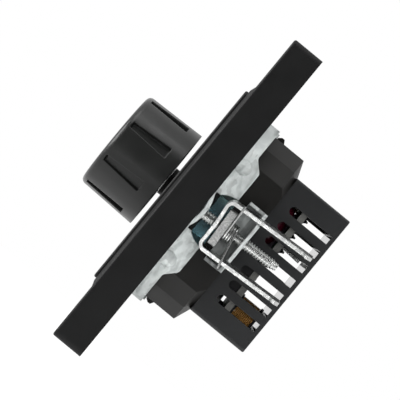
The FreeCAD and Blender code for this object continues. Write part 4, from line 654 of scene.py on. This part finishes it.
class SWITCH_OT_mould_knob(bpy.types.Operator):
    """Give the knob its dark grey plastic and rounded grooves"""

    bl_idname = "switch.mould_knob"
    bl_label = "Mould knob"

    def execute(self, context):
        plastics = context.scene.switch_plastics
        edge = 1.4 * plastics.edge_round
        fine = 0.004 * MM
        grey = moulded("dark_grey_knob", plastics.knob, 0.33, fine, specular=0.5, edge=edge)
        dress(grey, "knob")
        points, faces = skin(knob_rings(context.scene.switch_knob), closed_ends=False)
        mesh = mesh_from("knob_skin", points, faces)
        mesh.set_sharp_from_angle(angle=math.radians(35.0))
        new_piece("knob_skin", mesh, grey, "knob_and_shaft")
        return {"FINISHED"}


def knob_stations(sizes, long):
    """List each ring's distance from the front and its turn over the crown, 90 behind it."""
    crown = sizes.crown
    stations = [(crown * (1.0 - math.cos(math.radians(turn))), turn) for turn in CROWN_TURNS]
    stations += [(crown + step * MM, 90.0) for step in CROWN_STEPS]
    stations += [(share * long, 90.0) for share in BODY_SHARES]
    stations += [(sizes.groove_end + step * MM, 90.0) for step in GROOVE_END_STEPS]
    stations += [(share * long, 90.0) for share in REAR_SHARES]
    return stations


def groove_half(sizes, back):
    """Return half a groove's width in degrees at a distance from the front."""
    widest = math.degrees(math.asin(0.5 * sizes.groove_width / sizes.front_radius))
    along = (back - sizes.groove_start) / (sizes.groove_end - sizes.groove_start)
    return widest * (sizes.groove_taper + (1.0 - sizes.groove_taper) * min(1.0, max(0.0, along)))


def groove_sink(sizes, back):
    """Return how deep the grooves are at a distance from the front: 0 for flush, 1 for full."""
    lead = min(1.0, max(0.0, (back - sizes.groove_start) / (0.5 * MM)))
    tail = min(1.0, max(0.0, (sizes.groove_end - back) / (0.06 * MM)))
    return math.sqrt(1.0 - (1.0 - lead) ** 2) * tail


def knob_rings(sizes):
    """List the rings of the knob's skin from the front face, over the crown, to the rear edge."""
    low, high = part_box("knob")
    long = high.y - low.y
    sector = 180.0 / sizes.grooves
    bottom = sizes.front_radius - sizes.groove_depth
    rings = []
    for back, turn in knob_stations(sizes, long):
        body = sizes.front_radius + (sizes.rear_radius - sizes.front_radius) * back / long
        reach = body - sizes.crown * (1.0 - math.sin(math.radians(turn))) + sizes.proud
        if abs(back - sizes.line) < 0.08 * MM:
            reach -= 0.9 * sizes.proud
        sunk = groove_sink(sizes, back)
        half = groove_half(sizes, back)
        inner = [half * share for share in GROOVE_SHARES]
        outer = [half + (sector - half) * share for share in LAND_SHARES]
        offsets = [-offset for offset in reversed(inner[1:] + outer)] + inner + outer
        ring = []
        for number in range(sizes.grooves):
            middle = (2 * number + 1) * sector
            for offset in offsets:
                radius = reach
                if abs(offset) < half:
                    floor = bottom / math.cos(math.radians(offset))
                    radius -= (reach - floor - sizes.proud) * sunk
                angle = math.radians(middle + offset)
                ring.append((radius * math.cos(angle), low.y + back, radius * math.sin(angle)))
        rings.append(list(reversed(ring)))
    rings[0] = [(0.985 * x, low.y + 0.005 * MM, 0.985 * z) for x, y, z in rings[0]]
    return rings


# Frame and housings
class SWITCH_OT_press_frame(bpy.types.Operator):
    """Give the mounting frame its dull zinc plating"""

    bl_idname = "switch.press_frame"
    bl_label = "Press mounting frame"

    def execute(self, context):
        metals = context.scene.switch_metals
        zinc = zinc_plated("dull_zinc", metals.zinc, edge=2.5 * metals.edge_round)
        dress(zinc, "mounting_frame")
        return {"FINISHED"}


class SWITCH_OT_mould_housings(bpy.types.Operator):
    """Give the upper housing and the slotted rear case their plastic"""

    bl_idname = "switch.mould_housings"
    bl_label = "Mould housings"

    def execute(self, context):
        plastics = context.scene.switch_plastics
        edge = plastics.edge_round
        housing = moulded("housing_plastic", plastics.housing, 0.46, specular=0.36, edge=edge)
        dress(housing, "upper_housing")
        dress(cored("case_plastic", plastics.case, edge=0.5 * edge), "rear_case")
        return {"FINISHED"}


# Claw sets
class SWITCH_OT_cut_screws(bpy.types.Operator):
    """Cut the threaded claw screws with their pan heads and sunk sockets"""

    bl_idname = "switch.cut_screws"
    bl_label = "Cut claw screws"

    def execute(self, context):
        sizes = context.scene.switch_screws
        metals = context.scene.switch_metals
        steel = bright_plated("screw_steel", metals.steel, 0.16, edge=0.0, grain=0.003 * MM)
        points, faces = skin(thread_rings(sizes))
        for side in SIDES:
            name = f"claw_screw_thread_{side}"
            mesh = mesh_from(name, points, faces, screw_place(side))
            stands_for = [f"claw_screw_{side}"]
            new_piece(name, mesh, steel, f"screw_{side}", stands_for)
        return {"FINISHED"}


def thread_rings(sizes, around=36, per_turn=10):
    """List the rings of a screw from its point to the bottom of its head's socket."""
    turns = [step / around for step in range(around)]
    rings = []
    height = -sizes.length
    while height < HEAD_SEAT - 0.3 * MM:
        fade = min(1.0, (height + sizes.length) / sizes.taper)
        outer = sizes.radius * (0.62 + 0.38 * fade)
        ring = []
        for turn in turns:
            phase = (height / sizes.pitch - turn) % 1.0
            groove = sizes.depth * min(1.0, 2.4 * abs(phase - 0.5))
            reach = outer - groove * (0.35 + 0.65 * fade)
            angle = 2 * math.pi * turn
            ring.append((reach * math.cos(angle), reach * math.sin(angle), height))
        rings.append(ring)
        height += sizes.pitch / per_turn
    for radius, level in pan_profile(sizes):
        angles = [2 * math.pi * turn for turn in turns]
        rings.append([(radius * math.cos(way), radius * math.sin(way), level) for way in angles])
    return rings


def pan_profile(sizes):
    """List the radius and level of each ring of a pan head with a sunk driver socket."""
    head = sizes.head_radius
    top = HEAD_SEAT + sizes.head_height
    brim = HEAD_SEAT + 0.45 * sizes.head_height
    profile = [(sizes.radius, HEAD_SEAT), (head - 0.08 * MM, HEAD_SEAT)]
    profile += [(head, HEAD_SEAT + 0.1 * MM), (head, brim)]
    for step in range(1, 6):
        turn = step / 5 * math.pi / 2
        rise = 0.55 * sizes.head_height * math.sin(turn)
        profile.append((head * (0.62 + 0.38 * math.cos(turn)), brim + rise))
    profile += [(0.42 * head, top), (0.36 * head, top - 0.1 * MM), (0.26 * head, top - 0.8 * MM)]
    return profile


class SWITCH_OT_bend_claws(bpy.types.Operator):
    """Give the claws and their nut plates bright plating and slightly rounded edges"""

    bl_idname = "switch.bend_claws"
    bl_label = "Bend claws"

    def execute(self, context):
        metals = context.scene.switch_metals
        dress(bright_plated("claw_steel", metals.steel, 0.26), "claw_right", "claw_left")
        dress(tumbled("nut_zinc", metals.steel), "claw_nut_right", "claw_nut_left")
        return {"FINISHED"}


class SWITCH_OT_wind_springs(bpy.types.Operator):
    """Wind the claw springs round their screws with both legs over the prongs"""

    bl_idname = "switch.wind_springs"
    bl_label = "Wind claw springs"

    def execute(self, context):
        sizes = context.scene.switch_springs
        metals = context.scene.switch_metals
        steel = bright_plated("spring_wire", metals.steel, 0.18, edge=0.0)
        for side in SIDES:
            name = f"claw_spring_wire_{side}"
            curve = wire_curve(name, spring_route(sizes), sizes.wire, 4, screw_place(side))
            stands_for = [f"claw_spring_{side}"]
            new_piece(name, curve, steel, f"nut_{side}", stands_for)
        return {"FINISHED"}


def spring_route(sizes, per_turn=12):
    """List the points of a spring from its lower leg, round the coils, to its upper leg."""
    over = 3.23 * MM
    prong = 5.95 * MM
    first = -7.88 * MM
    last = first - sizes.pitch * sizes.turns
    coil = 1.03 * sizes.coil
    bend = 0.5 * (over + sizes.coil)
    route = [(over, -7.9 * MM, last - 1.25 * MM), (over, -7.0 * MM, last - 1.15 * MM)]
    route += [(over, -prong, last - 1.0 * MM), (bend, -0.5 * prong, last - 0.5 * MM)]
    for step in range(per_turn * sizes.turns + 1):
        turn = 2 * math.pi * step / per_turn
        level = last + sizes.pitch * step / per_turn
        route.append((coil * math.cos(turn), coil * math.sin(turn), level))
    route += [(bend, 0.5 * prong, first), (over, prong, first)]
    route += [(over, 6.8 * MM, first), (over, 7.4 * MM, first)]
    return route


class SWITCH_OT_lay_discs(bpy.types.Operator):
    """Give the insulating discs their tinted translucent plastic, with painted shade over the notch
    and the zinc behind painted in teal at the top
    """

    bl_idname = "switch.lay_discs"
    bl_label = "Lay insulating discs"

    def execute(self, context):
        blue = context.scene.switch_plastics.disc
        # Painted shade: the film is darkened above -2.5 mm, where it lies over the dark notch
        lower = (-5.5 * MM, -2.5 * MM, tint(blue, 0.22))
        # Painted light: above 6 mm the film turns teal, standing in for the zinc seen through it
        upper = (3.5 * MM, 6.0 * MM, (0.30, 0.50, 0.46))
        film = clear_film("blue_film", blue, 0.06, tints=(lower, upper))
        dress(film, "claw_disc_right", "claw_disc_left")
        return {"FINISHED"}


# Circuit
class SWITCH_OT_dress_board(bpy.types.Operator):
    """Finish the circuit board and the components that stand on it"""

    bl_idname = "switch.dress_board"
    bl_label = "Dress circuit board"

    def execute(self, context):
        metals = context.scene.switch_metals
        dress(fibre_board("fibre_board"), "circuit_board")
        dress(bright_plated("sink_aluminium", metals.aluminium, 0.38), "heat_sink")
        dress(moulded("triac_epoxy", (0.012, 0.012, 0.013), 0.5), "triac")
        dress(lacquered("red_dip", (0.045, 0.003, 0.010)), "red_capacitor")
        box = moulded("capacitor_box", (0.035, 0.02, 0.035), 0.35, specular=0.5)
        dress(box, "suppressor_capacitor")
        low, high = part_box("resistors")
        middle = 0.5 * (low.z + high.z)
        rings = [
            (middle - 2.0 * MM, 0.35 * MM, (0.10, 0.03, 0.01)),
            (middle - 0.7 * MM, 0.35 * MM, (0.02, 0.02, 0.02)),
            (middle + 0.6 * MM, 0.35 * MM, (0.60, 0.20, 0.02)),
            (middle + 2.2 * MM, 0.35 * MM, (0.45, 0.30, 0.06)),
        ]
        dress(banded("resistor_lacquer", (0.48, 0.34, 0.19), rings), "resistors")
        cathode = [(middle + 1.2 * MM, 0.3 * MM, (0.01, 0.01, 0.015))]
        dress(banded("diac_body", (0.35, 0.12, 0.06), cathode), "diac")
        plated = bright_plated("small_screw_steel", metals.steel, 0.3)
        dress(plated, "triac_screw", "housing_screws", "case_screws", "control_leads")
        solder = bright_plated("solder", (0.62, 0.63, 0.64), 0.22)
        mesh = mesh_from("solder_joints", *solder_joints())
        new_piece("solder_joints", mesh, solder, "housing")
        return {"FINISHED"}


def solder_joints(around=10):
    """List the points and faces of the solder cones and clipped pins behind the board."""
    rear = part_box("circuit_board")[1].y
    points = []
    faces = []
    spots = SLOT_JOINTS + TRIAC_JOINTS + RESISTOR_JOINTS
    spots += SUPPRESSOR_JOINTS + DIAC_JOINTS + CONTROL_JOINTS
    for number, (across, up) in enumerate(spots):
        size = (0.85 + 0.15 * ((number * 7) % 5) / 4) * MM
        rings = []
        for radius, level in SOLDER_CONE + SOLDER_PIN:
            height = rear + level * size
            rings.append(ring_at(across * MM, height, up * MM, radius * size, around))
        more, sides = skin(rings)
        start = len(points)
        points += more
        faces += [tuple(start + corner for corner in reversed(side)) for side in sides]
    return points, faces


class SWITCH_OT_wind_choke(bpy.types.Operator):
    """Wind the choke with lacquered copper wire on its ferrite core"""

    bl_idname = "switch.wind_choke"
    bl_label = "Wind choke"

    def execute(self, context):
        sizes = context.scene.switch_winding
        metals = context.scene.switch_metals
        copper = lacquered("copper_lacquer", metals.copper, 0.3, metallic=0.6)
        dress(moulded("ferrite", (0.018, 0.018, 0.02), 0.55), "choke_core")
        curve = wire_curve("choke_turns", choke_route(sizes), sizes.wire, 3)
        new_piece("choke_turns", curve, copper, "housing", ["choke_winding"])
        points, faces = skin(choke_tube(sizes), closed_ends=False)
        mesh = mesh_from("choke_inner_turns", points, faces, smooth=False)
        new_piece("choke_inner_turns", mesh, copper, "housing")
        return {"FINISHED"}


def choke_route(sizes, per_turn=16):
    """List the points of the choke's outer layer of turns."""
    low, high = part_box("choke_winding")
    middle = 0.5 * (low + high)
    reach = 1.02 * (0.5 * (high.x - low.x) - sizes.wire)
    pitch = (high.y - low.y - 2 * sizes.wire) / sizes.rows
    route = []
    for number in range(per_turn * sizes.rows + 1):
        turn = 2 * math.pi * number / per_turn
        level = low.y + sizes.wire + pitch * number / per_turn
        across = middle.x + reach * math.cos(turn)
        route.append((across, level, middle.z + reach * math.sin(turn)))
    return route


def choke_tube(sizes, around=40):
    """List the rings of the tube under the outer turns, which is the wall of the choke's bore."""
    low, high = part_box("choke_winding")
    middle = 0.5 * (low + high)
    outer = 0.5 * (high.x - low.x) - 1.2 * sizes.wire
    rings = []
    for share, at_rear in CHOKE_TUBE:
        level = high.y if at_rear else low.y
        rings.append(ring_at(middle.x, level, middle.z, share * outer, around))
    return rings


class SWITCH_OT_dress_control(bpy.types.Operator):
    """Finish the control: shaft, bushing, washer, nut, can, track and wiper"""

    bl_idname = "switch.dress_control"
    bl_label = "Dress control"

    def execute(self, context):
        metals = context.scene.switch_metals
        steel = bright_plated("turned_steel", metals.steel, 0.28)
        dress(steel, "control_shaft", "bushing_washer")
        brass = bright_plated("turned_brass", metals.brass, 0.28)
        dress(brass, "control_bushing", "bushing_nut", "control_wiper")
        dress(bright_plated("tinned_can", (0.55, 0.56, 0.57), 0.34), "control_can")
        dress(moulded("track_laminate", (0.11, 0.05, 0.02), 0.5), "control_track")
        return {"FINISHED"}


class SWITCH_OT_dress_power(bpy.types.Operator):
    """Finish the fuse with its clips and the terminals with their springs"""

    bl_idname = "switch.dress_power"
    bl_label = "Dress fuse and terminals"

    def execute(self, context):
        metals = context.scene.switch_metals
        grey = context.scene.switch_plastics.terminals
        dress(clear_film("fuse_glass", (0.92, 0.95, 0.95), 0.06, ior=1.5), "fuse_glass")
        dress(bright_plated("nickel", (0.62, 0.60, 0.56), 0.26), "fuse_caps", "fuse_clips")
        dress(moulded("terminal_plastic", grey, 0.4, specular=0.4), "terminal_block")
        dress(bright_plated("bar_brass", metals.brass, 0.32), "terminal_bars")
        dress(bright_plated("leaf_steel", metals.steel, 0.22), "terminal_springs")
        return {"FINISHED"}


# Stage
class SWITCH_OT_set_stage(bpy.types.Operator):
    """Set the floor, the light and the camera"""

    bl_idname = "switch.set_stage"
    bl_label = "Set stage"

    def execute(self, context):
        scene = context.scene
        stage = scene.switch_stage
        scene.view_settings.view_transform = "Standard"
        light_world(scene, stage)
        lay_floor(stage)
        hang_lamps()
        aim_camera(scene, stage)
        return {"FINISHED"}


def light_world(scene, stage):
    """Put up a white tent, open on the side that the picture is taken from."""
    world = bpy.data.worlds.new("white_tent")
    scene.world = world
    world.use_nodes = True
    nodes = world.node_tree.nodes
    links = world.node_tree.links
    background = nodes["Background"]
    background.inputs["Color"].default_value = (1.0, 1.0, 1.0, 1.0)
    around = nodes.new("ShaderNodeTexCoord")
    split = nodes.new("ShaderNodeSeparateXYZ")
    links.new(around.outputs["Generated"], split.inputs["Vector"])
    wall = nodes.new("ShaderNodeMapRange")
    set_ramp(wall, *TENT_EDGE, stage.tent, stage.open_side)
    links.new(split.outputs["X"], wall.inputs["Value"])
    rays = nodes.new("ShaderNodeLightPath")
    clear = nodes.new("ShaderNodeMath")
    clear.operation = "MAXIMUM"
    links.new(rays.outputs["Is Camera Ray"], clear.inputs[0])
    links.new(rays.outputs["Is Transmission Ray"], clear.inputs[1])
    strength = nodes.new("ShaderNodeMix")
    strength.inputs["B"].default_value = 1.0
    links.new(clear.outputs["Value"], strength.inputs["Factor"])
    links.new(wall.outputs["Result"], strength.inputs["A"])
    links.new(strength.outputs["Result"], background.inputs["Strength"])


def lay_floor(stage):
    """Lay a white floor that keeps the shadow of the switch."""
    half = 3.0
    level = -stage.floor_drop
    corners = [(x * half, y * half, level) for x, y in ((-1, -1), (1, -1), (1, 1), (-1, 1))]
    mesh = mesh_from("floor", corners, [(0, 1, 2, 3)], smooth=False)
    floor = bpy.data.objects.new("floor", mesh)
    bpy.context.scene.collection.objects.link(floor)
    finish = Finish("white_floor", 0.9, specular=0.1)
    paper = finish.noise(20.0 * MM, 3.0)
    finish.colour(finish.mix(paper, (0.40, 0.40, 0.40), (0.42, 0.42, 0.42)))
    glow = finish.add("ShaderNodeEmission")
    rays = finish.add("ShaderNodeLightPath")
    wall = finish.ramp(finish.axis(finish.coords, "X"), 0.0, GLOW_FADE, FLOOR_GLOW, 0.0)
    mirrored = finish.product(rays.outputs["Is Glossy Ray"], wall)
    seen = finish.ramp(rays.outputs["Is Camera Ray"], 0.0, 1.0, 0.0, FLOOR_GLOW)
    brighter = finish.add("ShaderNodeMath", operation="MAXIMUM")
    finish.join(mirrored, brighter.inputs[0])
    finish.join(seen, brighter.inputs[1])
    finish.join(brighter.outputs["Value"], glow.inputs["Strength"])
    both = finish.add("ShaderNodeAddShader")
    finish.join(finish.shader.outputs["BSDF"], both.inputs[0])
    finish.join(glow.outputs["Emission"], both.inputs[1])
    finish.join(both.outputs["Shader"], finish.tree.nodes["Material Output"].inputs["Surface"])
    mesh.materials.append(finish.material)


def hang_lamps():
    """Hang the soft boxes: over the knob, under the housing, beside the lens, low and in front.

    Each has a place, a side length, a power, and whether it lights surfaces and is mirrored.
    """
    lamps = {
        "over": ((0.32, -0.34, 0.88), 0.55, 2.8, True, True),
        "under": ((0.17, 0.08, -0.20), 0.14, 0.13, True, True),
        "beside": ((0.95, 0.18, 0.28), 0.70, 6.8, True, False),
        "edge": ((0.62, 0.02, -0.17), 0.10, 0.10, True, True),
        "front": ((0.36, -0.85, 0.05), 0.80, 13.0, False, True),
    }
    for name, (place, side, power, spread, mirrored) in lamps.items():
        lamp = bpy.data.lights.new(name, "AREA")
        lamp.shape = "SQUARE"
        lamp.size = side
        lamp.energy = power
        holder = bpy.data.objects.new(name, lamp)
        bpy.context.scene.collection.objects.link(holder)
        holder.location = place
        holder.rotation_mode = "QUATERNION"
        holder.rotation_quaternion = Vector(place).to_track_quat("Z", "Y")
        holder.visible_camera = False
        holder.visible_diffuse = spread
        holder.visible_glossy = mirrored


def aim_camera(scene, stage):
    """Look along the wall from the right, with the camera rolled as in the picture."""
    camera = bpy.data.cameras.new("camera")
    camera.sensor_width = 36.0
    camera.lens = stage.lens
    camera.clip_start = 0.01
    camera.clip_end = 20.0
    holder = bpy.data.objects.new("camera", camera)
    scene.collection.objects.link(holder)
    roll = stage.roll
    right = Vector((0.0, math.cos(roll), math.sin(roll)))
    up = Vector((0.0, -math.sin(roll), math.cos(roll)))
    back = Vector((1.0, 0.0, 0.0))
    matrix = Matrix((right, up, back)).transposed().to_4x4()
    matrix.translation = (CAD_BOX[1].x + stage.camera_distance, *CAMERA_AIM)
    holder.matrix_world = matrix
    scene.camera = holder


OPERATORS = (
    SWITCH_OT_mould_plates,
    SWITCH_OT_mould_knob,
    SWITCH_OT_press_frame,
    SWITCH_OT_mould_housings,
    SWITCH_OT_cut_screws,
    SWITCH_OT_bend_claws,
    SWITCH_OT_wind_springs,
    SWITCH_OT_lay_discs,
    SWITCH_OT_dress_board,
    SWITCH_OT_wind_choke,
    SWITCH_OT_dress_control,
    SWITCH_OT_dress_power,
    SWITCH_OT_set_stage,
)


class SWITCH_PT_sidebar(bpy.types.Panel):
    """List the sizes, the colours and the steps of the switch"""

    bl_idname = "SWITCH_PT_sidebar"
    bl_label = "Fan Speed Switch"
    bl_space_type = "VIEW_3D"
    bl_region_type = "UI"
    bl_category = "Fan Switch"

    def draw(self, context):
        for name, group in GROUPS.items():
            box = self.layout.box()
            box.label(text=group.__doc__)
            for key in group.__annotations__:
                box.prop(getattr(context.scene, name), key)
        for operator in OPERATORS:
            self.layout.operator(operator.bl_idname)


CLASSES = (*GROUPS.values(), *OPERATORS, SWITCH_PT_sidebar)


def register():
    """Register the classes and hang the property groups on the scene."""
    for item in CLASSES:
        bpy.utils.register_class(item)
    for name, group in GROUPS.items():
        setattr(bpy.types.Scene, name, PointerProperty(type=group))


def unregister():
    """Take the property groups and the classes away again."""
    for name in GROUPS:
        delattr(bpy.types.Scene, name)
    for item in reversed(CLASSES):
        bpy.utils.unregister_class(item)


def main():
    """Dress the whole switch in order."""
    register()
    for operator in OPERATORS:
        group, step = operator.bl_idname.split(".")
        getattr(getattr(bpy.ops, group), step)()


if __name__ == "__main__":
    main()
